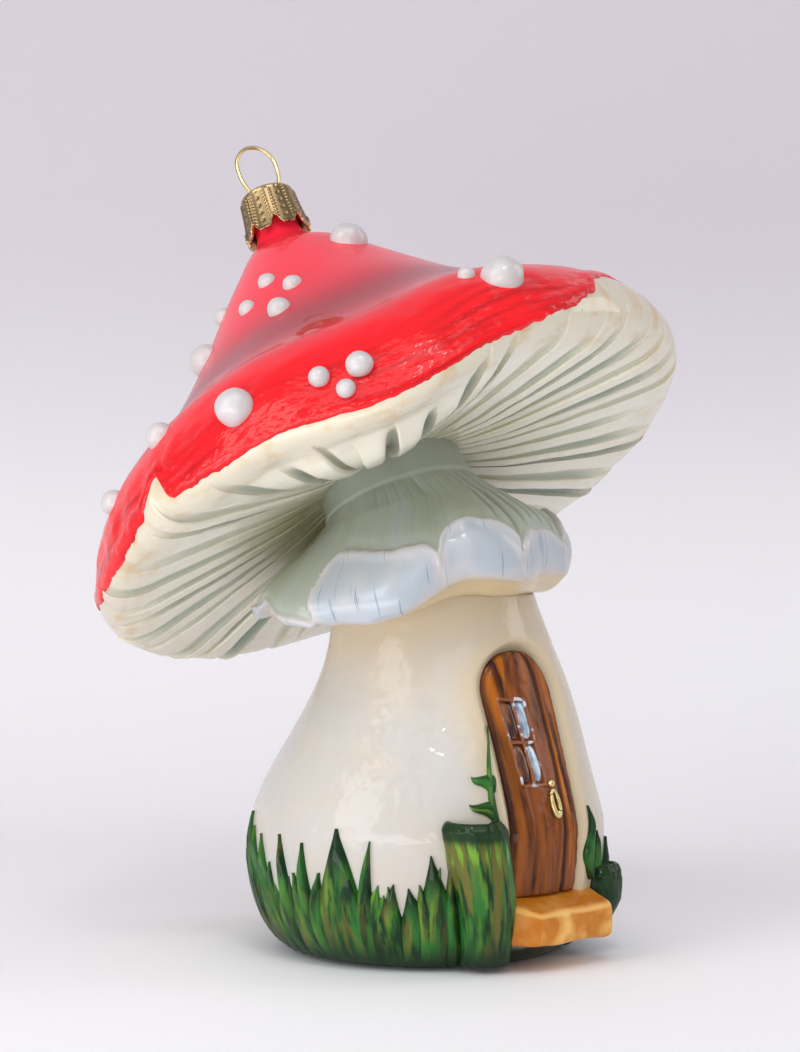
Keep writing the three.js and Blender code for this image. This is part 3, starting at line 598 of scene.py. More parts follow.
def red_lacquer(tree):
    """Glossy red with brush strokes round the lip, a dark waist of painted shade and painted reflection,
    and pinker above as a painted sheen.
    """
    paint = painted(tree)
    strokes = pattern(tree, 14 * MM, 1.2 * MM, 5, 0.38, 0.7)
    red = blend(tree, times(tree, strokes, paint["Red"]), "red", "deep_red")
    # the upper cap is blended pinker as a painted sheen
    red = blend(tree, times(tree, paint["Green"], 0.75), red, "pink")
    # a dark red band round the concave waist, painted shade and painted reflection
    red = blend(tree, paint["Blue"], red, "crimson")
    uneven = times(tree, pattern(tree, 2.6 * MM, 1.3 * MM, 2, 0.3, 0.7), paint["Red"])
    uneven = relief(tree, uneven, 0.18 * MM)
    return lacquer(red, 0.5, 0.6, 0.03, Specular_IOR_Level=0.15, Coat_Normal=uneven)


def gill_cream(tree):
    """Cream pleats with grey-green painted shade in the hollows, olive painted shade by the collar, and
    towards the rim darker painted shade with tan stains and specks.
    """
    paint = painted(tree)
    stained = times(tree, pattern(tree, 5 * MM, 3 * MM, 4, 0.5, 0.68), times(tree, paint["Green"], 0.75))
    # towards the rim the cream is darkened with tan and grey as painted shade
    cream = blend(tree, times(tree, paint["Green"], 0.36), "cream", "stain")
    cream = blend(tree, times(tree, paint["Green"], 0.25), cream, "valley")
    cream = blend(tree, stained, cream, "stain")
    specks = times(tree, pattern(tree, 0.6 * MM, None, 2, 0.7, 0.75), 0.3)
    cream = blend(tree, specks, cream, "dark_wood")
    # olive painted shade on the gills by the collar
    cream = blend(tree, times(tree, paint["Blue"], 0.75), cream, "khaki")
    # the hollows between pleats are painted grey-green as painted shade
    return lacquer(blend(tree, paint["Red"], cream, "valley"), 0.4, 0.6, 0.06)


def white_enamel(tree):
    """Thick glossy white drops."""
    return lacquer("white", 0.4, 0.5, 0.04)


def milky_opal(tree):
    """Milky cream glass with tan blotches, tan painted shade by the hem and round the niche, a painted warm
    glow right of the door, and a dark green foot.
    """
    paint = painted(tree)
    clouds = pattern(tree, 9 * MM, None, 2, 0.35, 0.75, surface=False)
    base = blend(tree, times(tree, clouds, 0.2), "opal", "white")
    blotches = pattern(tree, 15 * MM, None, 4, 0.46, 0.72, surface=False)
    base = blend(tree, times(tree, blotches, 0.3), base, "tan")
    # tan painted shade under the hem and round the niche, and a painted warm glow
    base = blend(tree, times(tree, paint["Red"], 0.75), base, "tan")
    base = blend(tree, paint["Green"], base, "dark_leaf")
    uneven = pattern(tree, 3 * MM, None, 2, 0.3, 0.7, surface=False)
    uneven = relief(tree, uneven, 0.12 * MM)
    return lacquer(base, 0.45, 0.6, 0.03, Specular_IOR_Level=0.2, Coat_Normal=uneven,
                   Subsurface_Weight=0.15, Subsurface_Scale=2 * MM)


def collar_glaze(tree):
    """Grey-green skirt in soft bands, and a frosted hem with white edges of white paint and painted
    highlight, fine cracks, and a tan border of painted shade.
    """
    paint = painted(tree)
    bands = pattern(tree, 5 * MM, 30 * MM, 3, 0.42, 0.72)
    skirt = blend(tree, times(tree, bands, 0.4), "grey", "frost")
    cracks = pattern(tree, 0.5 * MM, 7 * MM, 1, 0.66, 0.7)
    clouds = pattern(tree, 5 * MM, 4 * MM, 3, 0.45, 0.65)
    hem = blend(tree, times(tree, clouds, 0.35), "frost", "white")
    # white edges of the lobes: white paint and painted highlight
    hem = blend(tree, paint["Green"], hem, "white")
    hem = blend(tree, times(tree, cracks, 0.7), hem, "blue")
    # tan border: painted shade where the hem meets the stem
    hem = blend(tree, paint["Blue"], hem, "tan")
    return lacquer(blend(tree, paint["Red"], skirt, hem), 0.35, 0.5, 0.1)


def board_paint(tree):
    """Red-brown boards in long broad brush strokes, some ochre and some nearly black."""
    paint = painted(tree)
    strokes = pattern(tree, 2.4 * MM, 18 * MM, 6, 0.42, 0.6)
    wood = blend(tree, strokes, "wood", "dark_wood")
    light = times(tree, pattern(tree, 1.9 * MM, 20 * MM, 6, 0.46, 0.57), paint["Green"])
    wood = blend(tree, light, wood, "ochre")
    # dark joints, a dark outline at the left, and painted shade along the leaf's right edge
    wood = blend(tree, paint["Red"], wood, "dark_wood")
    return lacquer(wood, 0.5, 0.22, 0.06, Specular_IOR_Level=0.15)


def silver_blue(tree):
    """Silver-blue strokes of the panes."""
    mixed = blend(tree, pattern(tree, 1.2 * MM, 3 * MM, 3, 0.35, 0.65), "silver", "blue")
    return lacquer(mixed, 0.25, Metallic=0.25)


def bar_strokes(tree):
    """Brown window bars with patchy silver strokes."""
    patches = pattern(tree, 1.8 * MM, None, 2, 0.57, 0.64, surface=False)
    return lacquer(blend(tree, patches, "wood", "silver"), 0.3, 0.4)


def amber_pane(tree):
    """Dark brown panes with amber strokes."""
    mixed = blend(tree, pattern(tree, 1 * MM, 3 * MM, 3, 0.45, 0.7), "dark_wood", "amber")
    return lacquer(mixed, 0.3, 0.4)


def satin_gold(tree):
    """Satin gold of the knocker."""
    return {"Base Color": ink("gold"), "Metallic": 0.9, "Roughness": 0.3}


def ochre_patches(tree):
    """Soft patches of ochre, buff and brown, browner on the top, browner on the cut left face as painted
    shade, and pale along the front edge as a painted highlight.
    """
    patches = pattern(tree, 4.5 * MM, None, 2, 0.4, 0.62, surface=False)
    mixed = blend(tree, patches, "step", "buff")
    strokes = pattern(tree, 2.6 * MM, 6 * MM, 2, 0.5, 0.66, surface=False)
    mixed = blend(tree, times(tree, strokes, 0.5), mixed, "ochre")
    paint = painted(tree)
    # browner on the top, and on the cut left face as painted shade
    mixed = blend(tree, paint["Red"], mixed, "ochre")
    # pale along the front edge: a painted highlight
    mixed = blend(tree, paint["Green"], mixed, "buff")
    return lacquer(mixed, 0.5, 0.35, Specular_IOR_Level=0.15)


def grass_strokes(tree):
    """Greens in broad upright brush strokes: nearly black at the foot, bright and olive strokes above, a
    painted highlight down one side of each blade and painted shade down the other.
    """
    paint = painted(tree)
    strokes = pattern(tree, 1.7 * MM, 9 * MM, 6, 0.42, 0.57)
    green = blend(tree, strokes, "leaf", "dark_leaf")
    brown = times(tree, pattern(tree, 2.4 * MM, 12 * MM, 5, 0.52, 0.6), paint["Green"])
    green = blend(tree, brown, green, "olive")
    bright = times(tree, pattern(tree, 1.4 * MM, 8 * MM, 6, 0.5, 0.58), paint["Red"])
    green = blend(tree, bright, green, "bright_leaf")
    green = blend(tree, paint["Blue"], green, "dark_leaf")
    return lacquer(green, 0.5, 0.35, 0.03, Specular_IOR_Level=0.1)


def stamped_sheet(tree):
    """Antique gold sheet, dark in the hollows of its stamping."""
    hollow = painted(tree)["Red"]
    mixed = blend(tree, hollow, "brass", "dark_brass")
    return {"Base Color": mixed, "Metallic": 1, "Roughness": 0.3}


def pale_wire(tree):
    """Smooth pale gold wire."""
    return {"Base Color": ink("wire"), "Metallic": 1, "Roughness": 0.22}


def backdrop_paper(tree):
    """Matt white floor that turns into a grey-lilac wall, clear from behind to hide nothing."""
    mixed = blend(tree, painted(tree)["Red"], "floor", "wall")
    # the sheet's faces look away from the ornament, so its lit side is their back
    lit_side = add(tree, "ShaderNodeNewGeometry").outputs["Backfacing"]
    return {"Base Color": mixed, "Roughness": 0.7, "Alpha": lit_side}


def stem_surface():
    """Functions for the stem's radius at a height, its sway there, and a place on its outside."""
    s = settings().stem
    outline = bow((s.base_radius, 0), (s.belly_radius, s.belly_height), FOOT_BOW, 30)
    outline += bow((s.belly_radius, s.belly_height), (s.top_radius, s.height), STEM_BOW, 50)[1:]
    levels = [h for _, h in outline]
    lean = towards(s.sway_turn) * s.sway
    sway_height = s.sway_height

    def radius(z):
        i = bracket(levels, z)
        (r0, h0), (r1, h1) = outline[i - 1], outline[i]
        return lerp(r0, r1, (z - h0) / (h1 - h0))

    def sway(z):
        part = min(max(2 * z / sway_height - 1, 0), 2)
        return lean * math.sin(part * math.pi / 2) ** 2

    def place(turn, z, out=0):
        return towards(turn) * (radius(z) + out) + sway(z) + UP * z

    return radius, sway, place


def door_surface():
    """A function from a sideways place, a height and a distance out to a point over the stem's front."""
    radius, sway, _ = stem_surface()

    def place(x, z, out=0):
        shift = sway(z)
        aside = x - shift.x
        return Vector((x, shift.y - math.sqrt((radius(z) + out) ** 2 - aside ** 2), z))

    return place


def cap_place():
    c = settings().cap
    lean = Matrix.Rotation(c.lean_turn, 4, "Z")
    return lean @ Matrix.Translation((0, c.back, c.level)) @ Matrix.Rotation(-c.tilt, 4, "X")


def neck_place():
    c = settings().cap
    bend = c.tilt - settings().crown.neck_tilt
    return cap_place() @ Matrix.Translation((0, 0, c.height)) @ Matrix.Rotation(bend, 4, "X")


def cap_outline():
    """The cap's outside from the rim to the neck."""
    c = settings().cap
    shoulder = (c.shoulder_radius, c.shoulder_height)
    lip = bow((c.rim_radius, c.rim_height), shoulder, LIP_BOW, 40)
    return lip + bow(shoulder, (c.top_radius, c.height), FLANK_BOW, 60)[1:]


def rim_warp(point):
    """The rim's rise to one side and its droop at the front."""
    c = settings().cap
    reach = math.hypot(point.x, point.y) / c.rim_radius
    droop = c.droop * reach ** 4 * hump(math.atan2(point.x, -point.y) - c.droop_turn, c.droop_spread)
    point.z += c.side_rise * reach * point.x / c.rim_radius - droop
    return point


def between(table, turn):
    """A value from a table of turns in degrees and millimetres."""
    at = math.degrees(signed(turn))
    i = bracket(table, (at,))
    (t0, v0), (t1, v1) = table[i - 1], table[i]
    return lerp(v0, v1, smooth(t0, t1, at)) * MM


class TOADSTOOL_OT_stem(bpy.types.Operator):
    """Build the opal stem with the door's niche"""

    bl_idname = "toadstool.stem"
    bl_label = "Stem"

    def execute(self, context):
        s = settings().stem
        d = settings().door
        radius, sway, _ = stem_surface()
        half = d.width / 2 + d.niche_margin
        top = d.sill + d.height + d.niche_margin
        rim_rise = 1.5 * MM
        rim_inset = 0.8 * MM
        turns = steps(-DOOR_SIDE, DOOR_SIDE, 170) + steps(DOOR_SIDE, TAU - DOOR_SIDE, 92)[1:-1]
        # height, distance out and share of the radius: the base, the outside, the top edge, the inside
        rows = [(0, 0, part) for part in (0, 0.4, 0.8, 0.97)]
        rows += [(z, 0, 1) for z in steps(0, s.height, 190)]
        rows.append((s.height + rim_rise, -rim_inset, 1))
        rows += [(z, -s.wall - d.niche_depth, 1) for z in steps(s.height, s.wall, 14)]
        rows += [(s.wall, -s.wall - d.niche_depth, part) for part in (0.6, 0)]

        def place(turn, row):
            z, out, part = row
            shift = sway(z)
            point = towards(turn) * radius(z) * part + shift + UP * z
            # warm: tan painted shade under the collar's hem
            warm = smooth(s.height - 20 * MM, s.height + 4 * MM, z)
            if out == 0 and part == 1:
                x = point.x - d.lean * ((z - d.sill) / d.height - 0.5)
                inside = -s.belly_radius
                if point.y < 0:
                    inside = -arch_distance(x, z, half, d.sill - d.niche_depth, top)
                sunk = smooth(-0.3 * d.niche_round, d.niche_round, inside)
                out = -d.niche_depth * sunk + s.ripple * grain(point, 14 * MM) * smooth(0, 8 * MM, z)
                # tan painted shade round the niche
                warm = max(warm, smooth(-7 * MM, 1 * MM, inside))
                aside = math.degrees(signed(turn))
                # a painted warm glow to the right of the door
                warm = max(warm, 0.6 * smooth(12, 26, aside) * (1 - smooth(70, 110, aside)))
            point += towards(turn) * out * part
            grassy = 1 - smooth(2.4 * MM, 4.4 * MM, z + 1 * MM * grain(point, 3 * MM))
            return point, (turn * s.belly_radius, z), (warm, grassy, 0)

        seat("stem_glass", [skin("stem", turns, rows, place)], milky_opal, "opal_glass", "stem_shell")
        return {"FINISHED"}


class TOADSTOOL_OT_door(bpy.types.Operator):
    """Build the door's leaf, in boards"""

    bl_idname = "toadstool.door"
    bl_label = "Door"

    def execute(self, context):
        d = settings().door
        over = door_surface()
        half = d.width / 2
        top = d.sill + d.height
        left = d.window_middle - d.window_width / 2
        right = d.window_middle + d.window_width / 2
        bevel = 0.5 * MM
        recess = 0.5 * MM

        def place(s, t, side):
            z = lerp(d.sill, top, t)
            rise = max(z - (top - half), 0)
            wide = math.sqrt(max(half * half - rise * rise, 0))
            x = s * wide + d.lean * (t - 0.5) + d.spread * max(s, 0) * (1 - t)
            spot = Vector((x, 0, z))
            wander = 0.05 * grain(spot, 9 * MM, 3)

            def joint(at):
                return 1 - smooth(0.1 * MM, 0.7 * MM, abs(s + wander - at) * wide)

            # a faint joint to the left and a deep one to the right
            seam = max(0.35 * joint(-0.42), joint(0.48))
            edge = smooth(0, 0.8 * MM, wide * (1 - abs(s)))
            out = -d.depth - d.groove * seam - bevel * (1 - edge) + 0.1 * MM * grain(spot, 1.5 * MM)
            hollow = smooth(0, 0.4 * MM, min(x - left, right - x, z - d.window_sill,
                                             d.window_sill + d.window_height - z))
            out = lerp(-d.depth - d.thickness, out - recess * hollow, side)
            board = smooth(0.5, 0.6, s) * (1 - smooth(0.76, 0.88, s))
            light = max(board, 0.8 * smooth(0.5, 0.8, t) * (1 - smooth(-0.5, 0, s)), 0.35)
            # dark in the joints, along the right edge as painted shade of the leaf's side, and along the
            # left edge as a dark outline
            dark = max(seam, smooth(0.82, 0.94, s), 0.6 * smooth(0.9, 0.98, -s))
            return over(x, z, out), (x, z), (dark, light, 0)

        leaf = slab("leaf", steps(-1, 1, 90), steps(0, 1, 150), place)
        seat("door_boards", [leaf], board_paint, "door_paint", "door_leaf")
        return {"FINISHED"}


class TOADSTOOL_OT_window(bpy.types.Operator):
    """Build the window's bars and panes"""

    bl_idname = "toadstool.window"
    bl_label = "Window"

    def execute(self, context):
        d = settings().door
        over = door_surface()
        left = d.window_middle - d.window_width / 2
        right = d.window_middle + d.window_width / 2
        low = d.window_sill
        high = low + d.window_height
        middle = (low + high) / 2
        wobble = 0.2 * MM
        pillow = 0.45 * MM

        def bar(start, end, seed):
            path = []
            for t in steps(0, 1, 24):
                spot = Vector((lerp(start[0], end[0], t), 0, lerp(start[1], end[1], t)))
                spot.x += wobble * grain(spot, 2 * MM, seed)
                spot.z += wobble * grain(spot, 2 * MM, seed + 1)
                path.append(over(spot.x, spot.z, -d.depth - 0.1 * MM))
            return tube("bar", path, lambda i: d.bar / 2 * (1 + 0.4 * grain(path[i], 1.5 * MM, seed)))

        bars = [bar((x, low), (x, high), i) for i, x in enumerate((left, d.window_middle, right))]
        bars += [bar((left, z), (right, z), i + 5) for i, z in enumerate((low, middle, high))]
        seat("window_bars", bars, bar_strokes, "door_paint", "window_frame")
        for level, bottom, top, rounding in (("lower", low, middle, 0.5), ("upper", middle, high, 0.3)):
            for name, near, far, paint in (("left", left, d.window_middle, amber_pane),
                                           ("right", d.window_middle, right, silver_blue)):

                def place(s, t, side):
                    # the foot of each pane is rounded, and the head of a lower one too
                    end = min(t, 1 - t) if level == "lower" else t
                    wide = math.sqrt(1 - (1 - min(end / rounding, 1)) ** 2) if end < rounding else 1
                    x = lerp(near, far, 0.5 + 0.5 * s * max(wide, 0.05))
                    z = lerp(bottom, top, 0.06 + 0.88 * t)
                    swell = (1 - s ** 4) * (1 - (2 * t - 1) ** 4)
                    out = lerp(-d.depth - d.thickness, -d.depth - pillow + pillow * swell, side)
                    return over(x, z, out), (x, z), (0, 0, 0)

                pane = slab("pane", steps(-1, 1, 16), steps(0, 1, 24), place)
                node = f"pane_{level}_{name}"
                seat(f"{node}_paint", [pane], paint, "silvered_pane", node)
        return {"FINISHED"}


class TOADSTOOL_OT_knocker(bpy.types.Operator):
    """Build the ring knocker and its stud"""

    bl_idname = "toadstool.knocker"
    bl_label = "Knocker"

    def execute(self, context):
        d = settings().door
        over = door_surface()
        wide = d.ring_width / 2 - d.ring_wire
        tall = d.ring_height / 2 - d.ring_wire
        path = []
        bends = 40
        for turn in steps(0, TAU, bends):
            x = d.ring_side + wide * math.sin(turn)
            z = d.ring_level + tall * math.cos(turn)
            path.append(over(x, z, -d.depth + d.ring_wire))
        ring = tube("ring", path, lambda i: d.ring_wire * (1 - 0.25 * math.cos(TAU * i / bends)))
        seat("knocker_hoop", [ring], satin_gold, "gold_paint", "knocker_ring")
        middle = over(d.ring_side, d.ring_level + d.ring_height / 2 + d.stud, -d.depth + 0.5 * d.stud)

        def place(turn, level):
            spoke = towards(turn) * math.cos(level) + UP * math.sin(level)
            return middle + spoke * d.stud, (turn * MM, level * MM), (0, 0, 0)

        knob = skin("knob", circle(20), steps(-math.pi / 2, math.pi / 2, 10), place)
        seat("knocker_knob", [knob], satin_gold, "gold_paint", "knocker_stud")
        return {"FINISHED"}


class TOADSTOOL_OT_step(bpy.types.Operator):
    """Build the doorstep"""

    bl_idname = "toadstool.step"
    bl_label = "Doorstep"

    def execute(self, context):
        p = settings().plants
        d = settings().door
        over = door_surface()
        half = p.step_width / 2
        left = p.step_middle - half
        right = p.step_middle + half
        back = over(0, d.sill, -d.niche_depth).y
        corners = [
            (left, over(left, d.sill, -1.5 * MM).y),
            (left, p.step_corner - p.step_reach),
            (left + p.step_corner, -p.step_reach),
            (right - p.step_round, -p.step_reach),
            (right, p.step_round - p.step_reach),
            (right, over(right, d.sill, -1.5 * MM).y),
        ]
        closer = (0, 0.03, 0.08, 0.16, 0.28, 0.42, 0.58, 0.72, 0.84, 0.92, 0.97)
        edge = []
        for side, (start, end) in enumerate(zip(corners, corners[1:])):
            edge += [(lerp(start[0], end[0], t), lerp(start[1], end[1], t), side == 1) for t in closer]
        for x in steps(right, left, 24)[:-1]:
            edge.append((x, over(x, d.sill, -d.niche_depth).y, False))
        slope = (d.sill - p.step_front) / (p.step_reach + back)
        ease = 1 * MM
        band = 0.2

        def rounded(a):
            """Shares across and along the plan at an angle round an edge, and how far down it lies."""
            inset = ease * (1 - math.sin(a))
            return 1 - inset / half, 1 - inset / (p.step_reach + back), band * (1 - math.cos(a))

        # shares of the plan across and along, and of the height, from the underside up and over the top
        rows = [(0, 0, 0), (0.5, 0.5, 0)]
        edges = [rounded(a) for a in steps(0, math.pi / 2, 6)]
        rows += edges
        rows += [(1, 1, level) for level in steps(band, 1 - band, 12)[1:-1]]
        rows += [(across, along, 1 - level) for across, along, level in reversed(edges)]
        rows += [(part, part, 1) for part in (0.8, 0.65, 0.5, 0.3, 0.15, 0)]

        def place(mark, row):
            x, y, cut = mark
            across, along, level = row
            x = lerp(p.step_middle, x, across)
            y = lerp(back, y, along)
            spot = Vector((x, y, lerp(p.step_foot, p.step_front + slope * (y + p.step_reach), level)))
            spot += Vector((1, 1, 0.8)) * 0.3 * MM * grain(spot, 3.5 * MM)
            front = smooth(0.84, 0.96, along)
            # dark: browner on the top, and on the cut left face as painted shade; light: a painted
            # highlight along the front edge
            dark = max(0.6 * smooth(0.93, 1, level) * (1 - front), 0.7 * cut * (level < 0.97))
            light = smooth(0.86, 0.93, level) * front
            return spot, (x, y + spot.z), (dark, 0.8 * light, 0)

        seat("step_block", [skin("block", edge, rows, place)], ochre_patches, "ochre_glass", "door_step")
        return {"FINISHED"}


class TOADSTOOL_OT_bushes(bpy.types.Operator):
    """Build the two clipped bushes beside the door"""

    bl_idname = "toadstool.bushes"
    bl_label = "Bushes"

    def execute(self, context):
        p = settings().plants
        radius, _, on_stem = stem_surface()
        rim_round = 1.2 * MM
        dish = 0.8 * MM
        for side, girth, x, low, high, lean, gloom in (
            ("left", p.left_radius, p.left_side, p.left_foot, p.left_top, p.left_lean, 0),
            ("right", p.right_radius, p.right_side, p.right_foot, p.right_top, 0, 0.92),
        ):
            level = (low + high) / 2
            bearing = math.asin(x / radius(level))
            aside = towards(bearing - math.pi / 2)

            def place(turn, part):
                # up the side, then over the rim and into the slightly sunk top
                climb = min(part, 1)
                over = max(part - 1, 0)
                z = lerp(low, high - rim_round, climb)
                z += rim_round * math.sin(min(over * 5, 1) * math.pi / 2)
                z -= dish * smooth(0.2, 0.6, over)
                axis = on_stem(bearing, min(z, level), 0.6 * MM)
                wide = girth * lerp(0.82, 1, smooth(0, 0.8, climb)) * (1 - over)
                lump = grain(Vector((turn * 3, z / (9 * MM), x / MM)), 1)
                rim = smooth(0.88, 0.95, climb)
                knob = grain(Vector((turn * 5, z / (2.5 * MM), x / MM)), 1, 4)
                wide += (0.45 * lump + 0.35 * knob * rim) * MM * (1 - over)
                spot = Vector((axis.x, axis.y, z)) + towards(turn) * wide + aside * lean * (climb - 0.45)
                bright = max(smooth(0.7, 0.84, climb), 0.45 * smooth(0, 0.3, lump))
                foot = max(1 - smooth(0.02, 0.3, climb), 0.95 * rim, gloom)
                return spot, (turn * girth, z), (bright, 0.9, foot)

            rows = steps(0, 1, 50) + [1.02, 1.05, 1.09, 1.13, 1.18, 1.24, 1.35, 1.5, 1.7, 1.9, 2]
            bush = skin("bush", circle(72), rows, place)
            seat(f"bush_{side}_leaves", [bush], grass_strokes, "green_glass", f"bush_{side}")
        return {"FINISHED"}


def on_wall(degrees, mm):
    """A place on the stem: its turn and its height."""
    return math.radians(degrees), mm * MM


def frond(start, end, width, thick, sway=0.0, leafy=False, paint=(0.5, 0.5, 0)):
    """A blade or leaf lying on the stem, between two places given as turn and height."""
    radius, _, on_stem = stem_surface()
    girth = radius((start[1] + end[1]) / 2)
    across = (end[0] - start[0]) * girth
    rise = end[1] - start[1]
    run = math.hypot(across, rise)
    bright, olive, tip = paint

    def place(s, t, side):
        wide = math.sin(math.pi * min(0.06 + 0.94 * t, 1) ** 0.75) if leafy else (1 - t ** 1.6)
        wide = width / 2 * max(wide, 0.03)
        bend = sway * math.sin(math.pi * t * (1.6 if leafy else 0.9))
        arc = across * t - rise / run * (s * wide + bend)
        z = start[1] + rise * t + across / run * (s * wide + bend)
        crest = (1 - s * s) ** 0.6 if abs(s) < 1 else 0
        out = lerp(-TUCK, 0.15 * MM + thick * crest * (0.35 + 0.65 * smooth(0, 0.25, 1 - t)), side)
        # one side of a blade is painted lighter, a painted highlight, and the other darker, painted shade;
        # the foot and the tip are dark paint
        lit = bright * smooth(0.1, 0.6, t) * lerp(0.35, 1, smooth(-0.2, 0.8, s))
        dark = max(1 - smooth(0, 0.3, t), tip * smooth(0.55, 0.9, t), 0.5 * smooth(0.5, 1, -s))
        return on_stem(start[0] + arc / girth, z, out), (s * wide + start[0] * girth, z), (lit, olive, dark)

    return slab("frond", steps(-1, 1, 8), steps(0, 1, 16), place)


class TOADSTOOL_OT_grass(bpy.types.Operator):
    """Build the grass round the foot and the tuft by the door"""

    bl_idname = "toadstool.grass"
    bl_label = "Grass"

    def execute(self, context):
        p = settings().plants
        _, _, on_stem = stem_surface()
        chance = Random(11)
        back = math.radians(232)
        girth = 26 * MM

        def band(s, t, side):
            turn = lerp(DOOR_SIDE, math.radians(322), s)
            crown = p.grass_band * (1 + 0.12 * math.sin(turn * 9) + 0.1 * math.sin(turn * 23))
            z = lerp(p.grass_foot, crown, t)
            lump = grain(Vector((turn * 9, z / (6 * MM), 0)), 1)
            out = lerp(-TUCK, (0.9 + 0.35 * lump) * MM * (1 - t ** 3) + 0.1 * MM, side)
            paint = (0.7 * smooth(0.3, 0.8, t), 0.6, 1 - 0.7 * smooth(0.1, 0.7, t))
            return on_stem(turn, z, out), (turn * girth, z), paint

        parts = [slab("band", steps(0, 1, 320), steps(0, 1, 24), band)]
        blades = [(math.radians(turn), top * MM, wide * MM) for turn, top, wide in BLADES]
        for part in steps(0, 1, 24):
            turn = lerp(DOOR_SIDE, back, part) + math.radians(chance.uniform(-2, 2))
            top = p.grass_tall * chance.uniform(0.65, 1.05)
            blades.append((turn, top, p.grass_width * chance.uniform(0.5, 1.3)))
        for turn, top, wide in blades:
            foot = turn + math.radians(chance.uniform(-3, 3))
            tip = 0.9 * smooth(3.5 * MM, 5 * MM, wide) + 0.3
            parts.append(frond((foot, p.grass_foot), (turn, top), wide * 1.5, p.grass_thick,
                               chance.uniform(-1, 1) * MM, paint=(0.8, chance.uniform(0.2, 1), tip)))
            for _ in range(3):
                # low broad strokes between the tall blades
                aside = foot + math.radians(chance.uniform(-6, 6))
                end = (aside + math.radians(chance.uniform(-4, 4)), top * chance.uniform(0.5, 0.75))
                parts.append(frond((aside, p.grass_foot), end, p.grass_width * chance.uniform(0.7, 1.3),
                                   p.grass_thick * chance.uniform(0.3, 0.6), chance.uniform(-1, 1) * MM,
                                   paint=(1, chance.uniform(0, 1), 0)))
        seat("grass_blades", parts, grass_strokes, "green_glass", "grass_ring")
        dull = (0.2, 0.1, 0.8)
        tuft = [
            frond(on_wall(20.5, 12.5), on_wall(17.6, 24), 2.4 * MM, 0.8 * MM, 0.9 * MM, True, dull),
            frond(on_wall(24, 12.5), on_wall(24.6, 20), 1.8 * MM, 0.8 * MM, -0.6 * MM, True, dull),
        ]
        seat("tuft_blades", tuft, grass_strokes, "green_glass", "door_tuft")
        return {"FINISHED"}


class TOADSTOOL_OT_vine(bpy.types.Operator):
    """Build the climbing stem and its leaves"""

    bl_idname = "toadstool.vine"
    bl_label = "Climbing stem"

    def execute(self, context):
        p = settings().plants
        thick = 0.7 * MM
        parts = [frond(on_wall(-22.6, 22), on_wall(-25.2, 37.4), p.stalk_width, thick, 0.4 * MM,
                       paint=(0.8, 0.2, 0))]
        for start, end in ((on_wall(-23.4, 27.6), on_wall(-30.4, 30.4)),
                           (on_wall(-23, 23.6), on_wall(-30.8, 26.4))):
            parts.append(frond(start, end, p.leaf_width, thick, -0.7 * MM, True, (1, 0.2, 0)))
        seat("vine_leaves", parts, grass_strokes, "green_glass", "door_vine")
        return {"FINISHED"}


